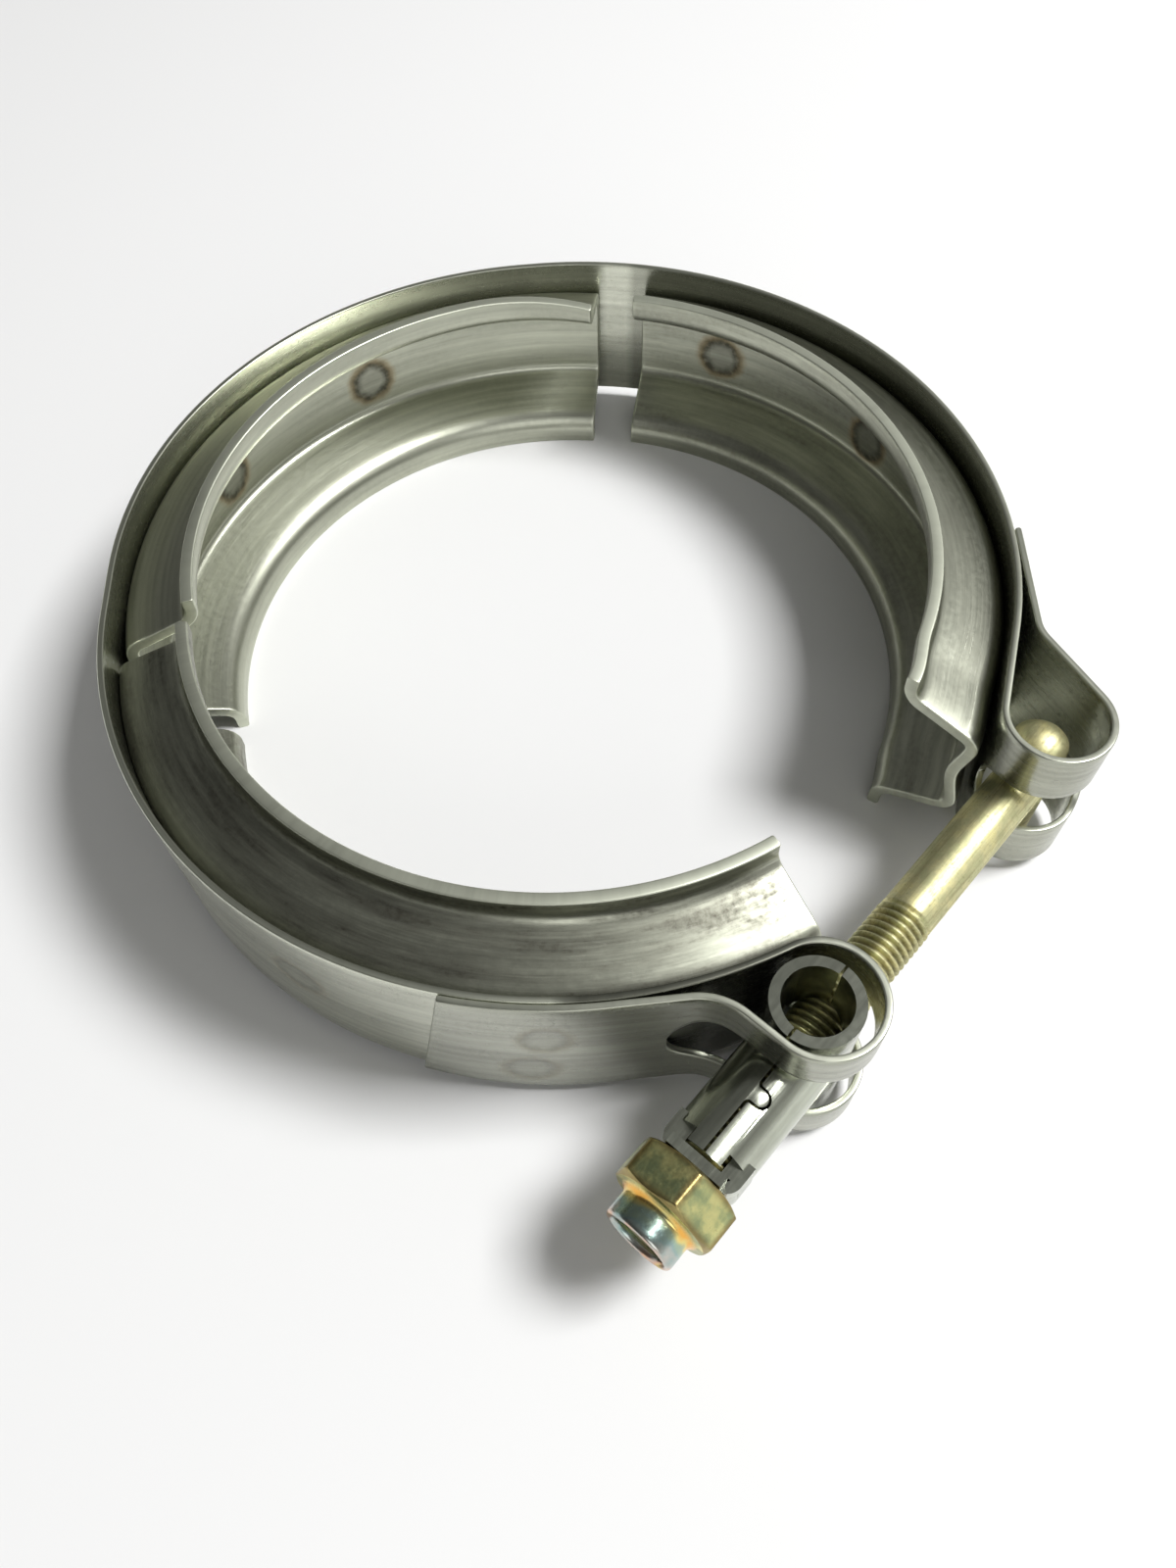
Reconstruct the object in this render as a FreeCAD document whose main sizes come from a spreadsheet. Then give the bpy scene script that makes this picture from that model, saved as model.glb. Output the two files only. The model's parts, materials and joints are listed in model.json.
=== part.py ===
"""V-band clamp with a T-bolt closure: one spot-welded strap, three V retainers,
a folded trunnion, a T-bolt and a locking nut.

Frame: millimetres. The origin is the centre of the V groove round the rear retainer,
+Z runs along the pipe, and the T-bolt runs along -X from its head to the nut, on the
-Y side. The retainers rest on the lower lips when the clamp lies down.
"""
import FreeCAD, Part
import Sketcher
import math
import os

from FreeCAD import Placement, Rotation, Vector

SIZES = {
    # the V retainers: one pressed section, bent round the flanges
    "groove_radius": 52.5,          # flat bottom of the V, measured from the pipe axis
    "groove_half_height": 6.0,      # half the height of that flat
    "leg_slope": 20.0,              # each leg of the V against the flange plane, degrees
    "lip_radius": 43.7,             # inner face of the turned-out lips
    "retainer_half_height": 13.0,   # from the middle of the V to the edge of a lip
    "retainer_thick": 1.5,
    "groove_bend": 1.9,             # bend radii at the middle of the sheet
    "lip_bend": 2.4,
    "bend_flats": 2,                # each bend of the section is made of this many flats
    "rear_middle": 91.2,            # azimuth of the middle of the rear retainer, degrees
    "right_gap": 5.3,               # from the rear retainer's end to each neighbour's, in
    "left_gap": -4.1,               # degrees, each end seen from its own centre
    "closure_gap": 26.4,            # what the three retainers and both gaps leave, degrees
    "right_opening": 1.88,          # how far the sprung strap carries each side retainer
    "right_opening_way": -42.0,     # azimuth of that shift, degrees
    "left_opening": 6.25,
    "left_opening_way": 226.8,      # degrees
    # the strap, both ends looped back into eyes and welded down
    "strap_width": 22.2,
    "strap_thick": 0.8,
    "lap_gap": 0.05,                # each tail to the strap that it is welded to
    "right_leave": -64.4,           # where the strap leaves the ring for each eye, degrees
    "right_neck": 11.5,             # straight stretch before the right eye
    "right_eye": 5.9,               # loop radii at the middle of the strap
    "left_leave": 248.0,            # degrees
    "left_eye": 6.15,
    "right_tip": -47.8,             # end of each folded-back tail, azimuth in degrees
    "right_lift": -49.6,            # where that tail leaves the ring, degrees
    "right_tail_way": 249.5,        # direction of its straight run into the eye, degrees
    "right_tail_bend": 5.0,
    "left_tip": -149.6,             # degrees
    "left_lift": -132.0,            # degrees
    "left_tail_way": 270.0,         # degrees
    "left_tail_bend": 2.6,
    "right_slot_half": 3.7,         # half the height of the slot in each eye
    "right_slot_first": 171.0,      # centres of its round ends about the eye, degrees
    "right_slot_last": 264.0,       # degrees
    "left_slot_half": 5.3,
    "left_slot_first": -5.0,        # degrees
    "left_slot_last": -131.4,       # on the tail, about the left retainer's centre, degrees
    # the closure
    "bolt_inset": 0.3,              # bolt axis, inside the line of the two eye centres
    "bolt_radius": 3.175,
    "shank_radius": 3.05,
    "shank_length": 23.4,           # plain part, from the middle of the head
    "bolt_length": 68.6,
    "bolt_chamfer": 0.7,
    "head_radius": 3.175,
    "head_length": 19.0,
    "head_dome": 2.4,               # height of each round end
    "head_gap": 0.3,                # head to the nut side of its eye
    "trunnion_radius": 4.8,         # outside of the split barrel in the left eye
    "trunnion_thick": 1.15,
    "trunnion_inset": 0.1,          # its ends, inside each edge of the strap
    "sleeve_radius": 4.65,          # outside of the split sleeve round the bolt
    "trunnion_gap": 0.2,            # barrel to the nut side of its eye
    "split_width": 0.4,
    "seat_distance": 18.6,          # barrel axis to the nut's seat
    "seat_height": 10.4,
    "side_height": 5.4,             # straps that carry the seat plate
    "side_bend": 1.4,
    "side_length": 4.2,             # from the seat to where they run into the sleeve
    "side_inset": 0.06,             # their faces lie just inside the sleeve's crown
    "relief_width": 1.5,
    "sleeve_gap": 0.6,              # end of the sleeve to the seat plate
    "tab_distance": 9.2,            # interlocking tab, from the barrel axis
    "tab_radius": 0.95,
    "hole_clearance": 0.35,
    "nut_flats": 11.11,
    "nut_hex_length": 4.7,
    "nut_length": 8.1,
    "nut_turn": 12.0,               # one corner, from +Z towards -Y, degrees
    "nut_chamfer": 0.55,
    "collar_radius": 4.02,
    "neck_length": 0.8,
    "collar_chamfer": 0.5,
    "thread_clearance": 0.05,
}

doc = FreeCAD.newDocument("v_band_clamp")
sheet = doc.addObject("Spreadsheet::Sheet", "sizes")
for row, (alias, value) in enumerate(SIZES.items(), start=1):
    sheet.set(f"A{row}", alias)
    sheet.set(f"B{row}", str(value))
    sheet.setAlias(f"B{row}", alias)
doc.recompute()


def size(alias):
    """A size as a plain number from the sheet."""
    return float(getattr(sheet, alias))


def heading(degrees):
    """Unit vector in the XY plane at an azimuth."""
    angle = math.radians(degrees)
    return Vector(math.cos(angle), math.sin(angle), 0)


def azimuth(vector):
    return math.degrees(math.atan2(vector.y, vector.x))


# --- paths and outlines of bent strip -------------------------------------------------
# A path is a list of arcs (centre, radius, start, end), joined by straight runs. An arc
# that turns left has end > start. A bare point is an arc of radius 0.

def point(position, direction):
    """The end of a path at a position, where the strip runs along direction."""
    normal = azimuth(direction) - 90
    return (position, 0.0, normal, normal)


def bend(before, corner, after, radius):
    """The arc that rounds a corner between two straight runs."""
    way_in = (corner - before).normalize()
    way_out = (after - corner).normalize()
    left = way_in.cross(way_out).z > 0
    turn = way_in.getAngle(way_out)
    side = Vector(-way_in.y, way_in.x, 0) if left else Vector(way_in.y, -way_in.x, 0)
    centre = corner - way_in * (radius * math.tan(turn / 2)) + side * radius
    start = azimuth(-side)
    degrees = math.degrees(turn)
    return (centre, radius, start, start + degrees if left else start - degrees)


def fold(corners, radii):
    """The path of a folded strip: straight runs between corners, a bend at each inner one."""
    path = [point(corners[0], corners[1] - corners[0])]
    for before, corner, after, radius in zip(corners, corners[1:], corners[2:], radii):
        path.append(bend(before, corner, after, radius))
    path.append(point(corners[-1], corners[-1] - corners[-2]))
    return path


def reverse(path):
    return [(centre, radius, end, start) for centre, radius, start, end in reversed(path)]


def shifted(path, offset):
    """The same path moved to its left by offset."""
    moved = []
    for centre, radius, start, end in path:
        moved.append((centre, radius - offset if end >= start else radius + offset, start, end))
    return moved


def ends(arc):
    centre, radius, start, end = arc
    return centre + heading(start) * radius, centre + heading(end) * radius


def outline(path, thickness, flats=0):
    """Closed outline of a strip of that thickness, centred on the path. Each arc stays an
    arc, or becomes that many flats."""
    half = thickness / 2
    sides = shifted(path, -half) + reverse(shifted(path, half))
    shapes = []
    corners = [ends(arc) for arc in sides]
    for arc, (first, last), following in zip(sides, corners, corners[1:] + corners[:1]):
        centre, radius, start, end = arc
        if end != start and flats:
            turns = [start + (end - start) * i / flats for i in range(flats + 1)]
            stops = [centre + heading(angle) * radius for angle in turns]
            shapes += [Part.LineSegment(a, b) for a, b in zip(stops, stops[1:])]
        elif end != start:
            circle = Part.Circle(centre, Vector(0, 0, 1), radius)
            low, high = sorted((math.radians(start), math.radians(end)))
            shapes.append(Part.ArcOfCircle(circle, low, high))
        if (following[0] - last).Length > 1e-6:
            shapes.append(Part.LineSegment(last, following[0]))
    return shapes


# --- small helpers for the bodies -----------------------------------------------------

def new_body(name):
    body = doc.addObject("PartDesign::Body", name)
    body.Label = name
    return body


def new_sketch(body, name, plane, shapes):
    """A sketch on one of the body's own origin planes."""
    sketch = body.newObject("Sketcher::SketchObject", name)
    planes = {feature.Role: feature for feature in body.Origin.OriginFeatures}
    sketch.AttachmentSupport = [(planes[plane], "")]
    sketch.MapMode = "FlatFace"
    sketch.addGeometry(shapes, False)
    return sketch


def circle_sketch(body, name, plane, *radii):
    """Circles about the origin, each radius an expression over the sheet."""
    circles = [Part.Circle(Vector(), Vector(0, 0, 1), 1 + i) for i in range(len(radii))]
    sketch = new_sketch(body, name, plane, circles)
    for index, expression in enumerate(radii):
        sketch.addConstraint(Sketcher.Constraint("Coincident", index, 3, -1, 1))
        constraint = sketch.addConstraint(Sketcher.Constraint("Radius", index, 1.0 + index))
        sketch.setExpression(f"Constraints[{constraint}]", expression)
    return sketch


def rectangle(low_x, low_y, high_x, high_y):
    corners = [
        Vector(low_x, low_y, 0), Vector(high_x, low_y, 0),
        Vector(high_x, high_y, 0), Vector(low_x, high_y, 0),
    ]
    return polygon(corners)


def polygon(corners):
    return [Part.LineSegment(a, b) for a, b in zip(corners, corners[1:] + corners[:1])]


def extrude(kind, body, sketch, name, length, midplane=True, away=False):
    """A Pad or Pocket whose length is an expression over the sheet."""
    feature = body.newObject("PartDesign::" + kind, name)
    feature.Profile = sketch
    feature.Midplane = midplane
    feature.Reversed = away
    feature.setExpression("Length", length)
    return feature


# --- where things lie -----------------------------------------------------------------

ring_radius = size("groove_radius") + size("retainer_thick") + size("strap_thick") / 2
tail_radius = ring_radius + size("strap_thick") + size("lap_gap")
rear_centre = Vector()
right_centre = heading(size("right_opening_way")) * size("right_opening")
left_centre = heading(size("left_opening_way")) * size("left_opening")

right_leave = heading(size("right_leave"))
right_eye = (
    right_centre
    + right_leave * (ring_radius + size("right_eye"))
    + Vector(right_leave.y, -right_leave.x, 0) * size("right_neck")
)
left_eye = left_centre + heading(size("left_leave")) * (ring_radius + size("left_eye"))

# the whole plan is turned a little, so that the bolt lies along the frame's X axis
turn = -azimuth(right_eye - left_eye)
plan_turn = Placement(Vector(), Rotation(Vector(0, 0, 1), turn))


def seat_in_eye(eye, eye_radius, radius, gap):
    """Centre of a round piece on the bolt's line, a gap short of the eye's nut side."""
    room = eye_radius - size("strap_thick") / 2 - radius - gap
    centre = plan_turn.multVec(eye)
    inset = size("bolt_inset")
    return centre + Vector(-math.sqrt(room * room - inset * inset), inset, 0)


head_place = seat_in_eye(right_eye, size("right_eye"), size("head_radius"), size("head_gap"))
barrel_place = seat_in_eye(
    left_eye, size("left_eye"), size("trunnion_radius"), size("trunnion_gap")
)
seat_place = barrel_place - Vector(size("seat_distance"), 0, 0)


# --- strap ----------------------------------------------------------------------------

def tail(centre, tip, lift, way, bend_radius, eye, eye_radius, side):
    """Folded-back tail from its tip to the eye: an arc on the ring, a straight lift,
    a bend and a straight run along way. side is 1 where the eye turns right."""
    on_ring = (centre, tail_radius, tip, lift)
    lift_point = centre + heading(lift) * tail_radius
    lift_way = heading(lift - 90 * side)
    run_way = heading(way)
    touch = eye + heading(way + 90 * side) * eye_radius
    gap = touch - lift_point
    along = gap.cross(run_way).z / lift_way.cross(run_way).z
    corner = lift_point + lift_way * along
    return [on_ring, bend(lift_point, corner, touch, bend_radius)]


right_tail = tail(
    right_centre, size("right_tip"), size("right_lift"), size("right_tail_way"),
    size("right_tail_bend"), right_eye, size("right_eye"), 1,
)
left_tail = tail(
    left_centre, size("left_tip"), size("left_lift"), size("left_tail_way"),
    size("left_tail_bend"), left_eye, size("left_eye"), -1,
)
right_hinge = size("right_opening_way") + 90
left_hinge = size("left_opening_way") - 90
strap_path = right_tail + [
    (right_eye, size("right_eye"), size("right_tail_way") + 90, size("right_leave") + 180),
    (right_centre, ring_radius, size("right_leave"), right_hinge),
    (rear_centre, ring_radius, right_hinge, left_hinge),
    (left_centre, ring_radius, left_hinge, size("left_leave")),
    (left_eye, size("left_eye"), size("left_leave") - 180, size("left_tail_way") - 450),
] + reverse(left_tail)

strap = new_body("strap")
plan = new_sketch(strap, "strap_plan", "XY_Plane", outline(strap_path, size("strap_thick")))
extrude("Pad", strap, plan, "strap_pad", "sizes.strap_width")


def slot_region(eye, reach, first, last, steps):
    """Plan of the stretch of an eye that its slot opens: a fan about the eye's centre."""
    fan = [eye + heading(first + (last - first) * i / steps) * reach for i in range(steps + 1)]
    return [eye] + fan


def slot_end(name, middle, outward, half, depth):
    """Round end of a slot: a cylinder through the strap, its axis square to it."""
    cutter = strap.newObject("PartDesign::SubtractiveCylinder", name)
    cutter.setExpression("Radius", half)
    cutter.Height = 2 * depth
    tilt = Rotation(Vector(0, 0, 1), outward)
    cutter.Placement = Placement(middle - outward * depth, tilt)


fan_steps = 6
right_reach = 2 * size("right_eye")
right_fan = slot_region(
    right_eye, right_reach, size("right_slot_first"), size("right_slot_last"), fan_steps
)
right_slot = new_sketch(strap, "right_slot_plan", "XY_Plane", polygon(right_fan))
extrude("Pocket", strap, right_slot, "right_slot", "2 * sizes.right_slot_half")
for name, way in (("first", "right_slot_first"), ("last", "right_slot_last")):
    outward = heading(size(way))
    slot_end(
        "right_slot_" + name, right_eye + outward * size("right_eye"), outward,
        "sizes.right_slot_half", size("right_eye") / 2,
    )

# the left slot runs on from the eye, down the tail as far as its last round end
left_reach = 1.6 * size("left_eye")
slot_last = left_centre + heading(size("left_slot_last")) * tail_radius
tail_outward = heading(size("left_slot_last"))
left_fan = slot_region(left_eye, left_reach, size("left_slot_first"), -180, fan_steps)
left_fan += [slot_last + tail_outward * 3 * size("strap_thick")]
left_fan += [slot_last - tail_outward * 0.49 * size("strap_thick")]
left_slot = new_sketch(strap, "left_slot_plan", "XY_Plane", polygon(left_fan))
extrude("Pocket", strap, left_slot, "left_slot", "2 * sizes.left_slot_half")
first_outward = heading(size("left_slot_first"))
slot_end(
    "left_slot_first", left_eye + first_outward * size("left_eye"), first_outward,
    "sizes.left_slot_half", size("left_eye") / 2,
)
slot_end(
    "left_slot_last", slot_last + tail_outward * size("strap_thick"), tail_outward,
    "sizes.left_slot_half", 1.49 * size("strap_thick"),
)
strap.Placement = plan_turn


# --- V retainers ----------------------------------------------------------------------

half_sheet = size("retainer_thick") / 2
lip_line = size("lip_radius") + half_sheet
web_line = size("groove_radius") + half_sheet
slope = math.tan(math.radians(size("leg_slope")))
web_corner = size("groove_half_height") + half_sheet * (
    1 / math.cos(math.radians(size("leg_slope"))) - slope
)
lip_corner = web_corner + slope * (web_line - lip_line)
section_corners = [
    Vector(lip_line, size("retainer_half_height"), 0), Vector(lip_line, lip_corner, 0),
    Vector(web_line, web_corner, 0), Vector(web_line, -web_corner, 0),
    Vector(lip_line, -lip_corner, 0), Vector(lip_line, -size("retainer_half_height"), 0),
]
section_bends = [size("lip_bend"), size("groove_bend"), size("groove_bend"), size("lip_bend")]
section = fold(section_corners, section_bends)

# three equal retainers share what their two gaps and the closure leave of the round
full_round = 360
span = (full_round - size("right_gap") - size("left_gap") - size("closure_gap")) / 3
rear_middle = size("rear_middle")
right_middle = rear_middle - span - size("right_gap")
left_middle = rear_middle + span + size("left_gap")


def retainer(name, middle, centre):
    """One retainer: its section turned about the pipe axis by its span."""
    body = new_body(name)
    shapes = outline(section, size("retainer_thick"), int(size("bend_flats")))
    profile = new_sketch(body, name + "_section", "XZ_Plane", shapes)
    sweep = body.newObject("PartDesign::Revolution", name + "_sweep")
    sweep.Profile = profile
    sweep.ReferenceAxis = (profile, ["V_Axis"])
    sweep.Midplane = True
    sweep.setExpression(
        "Angle", "(360 - sizes.right_gap - sizes.left_gap - sizes.closure_gap) / 3"
    )
    body.Placement = Placement(
        plan_turn.multVec(centre), Rotation(Vector(0, 0, 1), middle + turn)
    )
    return body


retainers = [
    retainer("retainer_rear", rear_middle, rear_centre),
    retainer("retainer_right", right_middle, right_centre),
    retainer("retainer_left", left_middle, left_centre),
]


# --- T-bolt ---------------------------------------------------------------------------

t_bolt = new_body("t_bolt")
head_radius = size("head_radius")
head_half = size("head_length") / 2
dome = size("head_dome")
dome_radius = (head_radius * head_radius + dome * dome) / (2 * dome)
dome_edge = math.asin((dome_radius - dome) / dome_radius)
head_section = [
    Part.LineSegment(Vector(0, head_half, 0), Vector(0, -head_half, 0)),
    Part.LineSegment(
        Vector(head_radius, dome - head_half, 0), Vector(head_radius, head_half - dome, 0)
    ),
]
for end, first, last in ((1, dome_edge, math.pi / 2), (-1, -math.pi / 2, -dome_edge)):
    middle = Vector(0, end * (head_half - dome_radius), 0)
    head_section.append(
        Part.ArcOfCircle(Part.Circle(middle, Vector(0, 0, 1), dome_radius), first, last)
    )
head_sketch = new_sketch(t_bolt, "head_section", "XZ_Plane", head_section)
head = t_bolt.newObject("PartDesign::Revolution", "head")
head.Profile = head_sketch
head.ReferenceAxis = (head_sketch, ["V_Axis"])
head.Angle = 360
shank = circle_sketch(t_bolt, "shank_circle", "YZ_Plane", "sizes.shank_radius")
extrude("Pad", t_bolt, shank, "shank", "sizes.shank_length", False, True)
thread = circle_sketch(t_bolt, "thread_circle", "YZ_Plane", "sizes.bolt_radius")
thread.setExpression("AttachmentOffset.Base.z", "-sizes.shank_length")
thread_pad = extrude(
    "Pad", t_bolt, thread, "threaded_part", "sizes.bolt_length - sizes.shank_length", False, True
)
doc.recompute()
edges = thread_pad.Shape.Edges
tip_edge = min(range(len(edges)), key=lambda index: edges[index].BoundBox.XMax)
tip = t_bolt.newObject("PartDesign::Chamfer", "tip_chamfer")
tip.Base = (thread_pad, ["Edge%d" % (tip_edge + 1)])
tip.setExpression("Size", "sizes.bolt_chamfer")
t_bolt.Placement = Placement(head_place, Rotation())


# --- trunnion -------------------------------------------------------------------------

trunnion = new_body("trunnion")
barrel = circle_sketch(
    trunnion, "barrel_circles", "XY_Plane",
    "sizes.trunnion_radius", "sizes.trunnion_radius - sizes.trunnion_thick",
)
extrude("Pad", trunnion, barrel, "barrel", "sizes.strap_width - 2 * sizes.trunnion_inset")
sleeve = circle_sketch(
    trunnion, "sleeve_circles", "YZ_Plane",
    "sizes.sleeve_radius", "sizes.sleeve_radius - sizes.trunnion_thick",
)
extrude(
    "Pad", trunnion, sleeve, "sleeve",
    "sizes.seat_distance - sizes.trunnion_thick - sizes.sleeve_gap", False, True,
)
hollow = circle_sketch(
    trunnion, "hollow_circle", "XY_Plane", "sizes.trunnion_radius - sizes.trunnion_thick"
)
extrude("Pocket", trunnion, hollow, "barrel_hollow", "2 * sizes.strap_width")
way = circle_sketch(
    trunnion, "bolt_way_circle", "YZ_Plane", "sizes.sleeve_radius - sizes.trunnion_thick"
)
extrude("Pocket", trunnion, way, "bolt_way", "4 * sizes.seat_distance")

side_line = size("sleeve_radius") - size("side_inset") - size("trunnion_thick") / 2
seat_line = -size("seat_distance") + size("trunnion_thick") / 2
side_start = -size("seat_distance") + size("side_length")
fold_corners = [
    Vector(side_start, side_line, 0), Vector(seat_line, side_line, 0),
    Vector(seat_line, -side_line, 0), Vector(side_start, -side_line, 0),
]
seat_fold = fold(fold_corners, [size("side_bend")] * 2)
sides = new_sketch(trunnion, "side_plan", "XY_Plane", outline(seat_fold, size("trunnion_thick")))
extrude("Pad", trunnion, sides, "sides", "sizes.side_height")
plate_half = side_line - size("side_bend") / 2
plate_face = -size("seat_distance") + size("trunnion_thick")
plate = new_sketch(
    trunnion, "seat_plan", "XY_Plane",
    rectangle(-size("seat_distance"), -plate_half, plate_face, plate_half),
)
extrude("Pad", trunnion, plate, "seat_plate", "sizes.seat_height")
bore = circle_sketch(
    trunnion, "seat_hole_circle", "YZ_Plane", "sizes.bolt_radius + sizes.hole_clearance"
)
extrude("Pocket", trunnion, bore, "seat_hole", "3 * sizes.seat_distance")

# notches free the ends of the sleeve from the straps that carry the seat
relief_low = size("side_height") / 2
relief_high = relief_low + size("relief_width")
relief_end = plate_face + size("sleeve_gap") + size("relief_width")
reliefs = []
for side in (1, -1):
    low, high = sorted((side * relief_low, side * relief_high))
    reliefs += rectangle(plate_face, low, relief_end, high)
relief = new_sketch(trunnion, "relief_notches", "XZ_Plane", reliefs)
extrude("Pocket", trunnion, relief, "reliefs", "4 * sizes.trunnion_radius")

# the two half shells part along the bolt, round a tab that keys them together
split_end = plate_face + size("sleeve_gap") / 2
tab_depth = -2 * size("tab_radius")
tab_near = -size("tab_distance") + size("tab_radius")
tab_far = -size("tab_distance") - size("tab_radius")
split_corners = [
    Vector(2 * size("trunnion_radius"), 0, 0), Vector(tab_near, 0, 0),
    Vector(tab_near, tab_depth, 0), Vector(tab_far, tab_depth, 0),
    Vector(tab_far, 0, 0), Vector(split_end, 0, 0),
]
tab_bends = [size("split_width"), size("tab_radius"), size("tab_radius"), size("split_width")]
split_path = fold(split_corners, tab_bends)
split = new_sketch(trunnion, "split_plan", "XY_Plane", outline(split_path, size("split_width")))
extrude("Pocket", trunnion, split, "split", "2 * sizes.strap_width")
trunnion.Placement = Placement(barrel_place, Rotation())


# --- nut ------------------------------------------------------------------------------

nut = new_body("nut")
corner_radius = size("nut_flats") / math.sqrt(3)
hexagon = [
    Vector(-math.sin(math.radians(size("nut_turn") + 60 * i)),
           math.cos(math.radians(size("nut_turn") + 60 * i)), 0) * corner_radius
    for i in range(6)
]
hex_sketch = new_sketch(nut, "hexagon", "YZ_Plane", polygon(hexagon))
extrude("Pad", nut, hex_sketch, "hex", "sizes.nut_hex_length", False, True)

trim = size("nut_chamfer")
rim = corner_radius + trim
flat = size("nut_flats") / 2
rise = (rim - flat) * math.tan(math.radians(30))
far = -size("nut_hex_length")
rims = polygon([Vector(0, flat, 0), Vector(0, rim, 0), Vector(-rise, rim, 0)])
rims += polygon([Vector(far, flat, 0), Vector(far + rise, rim, 0), Vector(far, rim, 0)])
rim_sketch = new_sketch(nut, "rim_section", "XY_Plane", rims)
rim_cut = nut.newObject("PartDesign::Groove", "rim_chamfers")
rim_cut.Profile = rim_sketch
rim_cut.ReferenceAxis = (rim_sketch, ["H_Axis"])
rim_cut.Angle = 360

collar_radius = size("collar_radius")
neck_end = far - size("neck_length")
end = -size("nut_length")
edge = size("collar_chamfer")
collar_section = polygon([
    Vector(far + 1, 0, 0), Vector(far + 1, flat - trim, 0), Vector(far, flat - trim, 0),
    Vector(neck_end, collar_radius, 0), Vector(end + edge, collar_radius, 0),
    Vector(end, collar_radius - edge, 0), Vector(end, 0, 0),
])
collar_sketch = new_sketch(nut, "collar_section", "XY_Plane", collar_section)
collar = nut.newObject("PartDesign::Revolution", "collar")
collar.Profile = collar_sketch
collar.ReferenceAxis = (collar_sketch, ["H_Axis"])
collar.Angle = 360
nut_bore = circle_sketch(nut, "bore_circle", "YZ_Plane", "sizes.bolt_radius + sizes.thread_clearance")
extrude("Pocket", nut, nut_bore, "bore", "3 * sizes.nut_length")
nut.Placement = Placement(seat_place, Rotation())


# --- check and write ------------------------------------------------------------------

doc.recompute()
failed = [o.Label for o in doc.Objects if "Invalid" in o.State or "Error" in o.State]
if failed:
    raise RuntimeError("features failed: " + ", ".join(failed))
subparts = [strap, *retainers, t_bolt, trunnion, nut]
os.makedirs("parts", exist_ok=True)
for body in subparts:
    shape = body.Shape
    if shape.isNull() or not shape.isValid() or len(shape.Solids) != 1:
        raise RuntimeError(f"{body.Label}: not one valid solid")
    shape.exportStep(f"parts/{body.Label}.step")
    box = shape.BoundBox
    print(f"{body.Label}: {shape.Volume:.1f} mm3, x {box.XMin:.2f} {box.XMax:.2f}, "
          f"y {box.YMin:.2f} {box.YMax:.2f}, z {box.ZMin:.2f} {box.ZMax:.2f}")
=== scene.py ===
"""V-band clamp with a T-bolt closure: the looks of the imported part, in metres.

The strap and the V retainers are surfaces carried along arcs and straight runs, the T-bolt has
its helical thread, the nut is one surface whose radius follows the hexagon and its chamfers,
and the trunnion's edges are rounded.
"""
import json
import math

import bmesh
import bpy
import numpy as np
from mathutils import Matrix, Vector


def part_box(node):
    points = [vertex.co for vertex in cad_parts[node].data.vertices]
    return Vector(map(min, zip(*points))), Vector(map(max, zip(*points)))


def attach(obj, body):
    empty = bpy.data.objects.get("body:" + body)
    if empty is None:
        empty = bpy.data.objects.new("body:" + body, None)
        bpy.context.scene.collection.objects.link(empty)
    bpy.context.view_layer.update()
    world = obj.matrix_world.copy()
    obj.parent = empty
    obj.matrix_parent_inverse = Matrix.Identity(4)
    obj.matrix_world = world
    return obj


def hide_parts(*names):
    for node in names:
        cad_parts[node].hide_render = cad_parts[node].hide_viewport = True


bl_info = {
    "name": "V-band clamp",
    "version": (1, 0, 0),
    "blender": (4, 5, 0),
    "location": "View3D > Sidebar > Clamp",
    "description": "Builds the finished surfaces of a V-band clamp round its packed frame",
    "category": "Object",
}

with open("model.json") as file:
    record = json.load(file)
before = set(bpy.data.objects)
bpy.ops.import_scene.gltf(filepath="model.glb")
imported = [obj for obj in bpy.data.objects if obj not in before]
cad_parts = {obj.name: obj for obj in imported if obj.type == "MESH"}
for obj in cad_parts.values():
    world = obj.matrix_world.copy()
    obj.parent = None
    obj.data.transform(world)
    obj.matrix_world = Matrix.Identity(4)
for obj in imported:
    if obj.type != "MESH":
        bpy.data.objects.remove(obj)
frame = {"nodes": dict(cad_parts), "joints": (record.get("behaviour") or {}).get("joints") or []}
MM = 0.001
UV_UNIT = 100  # millimetres that one unit of a UV map spans
SWIVEL = next(j for j in frame["joints"] if j["name"] == "trunnion_swivel")["pos_m"]
SEAT = next(j for j in frame["joints"] if j["name"] == "nut_spin")["pos_m"]


# --- sizes and colours ---------------------------------------------------------------------

def length(name, millimetres, description):
    """A length in metres, given in millimetres."""
    return bpy.props.FloatProperty(
        name=name, description=description, default=millimetres * MM, subtype="DISTANCE",
        unit="LENGTH", precision=5,
    )


def angle(name, degrees, description):
    """An angle in radians, given in degrees."""
    return bpy.props.FloatProperty(
        name=name, description=description, default=math.radians(degrees), subtype="ANGLE",
        unit="ROTATION",
    )


def amount(name, value, description):
    """A plain number."""
    return bpy.props.FloatProperty(name=name, description=description, default=value)


def colour(name, value, description):
    """A colour, as linear red, green and blue."""
    return bpy.props.FloatVectorProperty(
        name=name, description=description, default=value, subtype="COLOR", size=3,
        min=0.0, max=1.0,
    )


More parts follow.
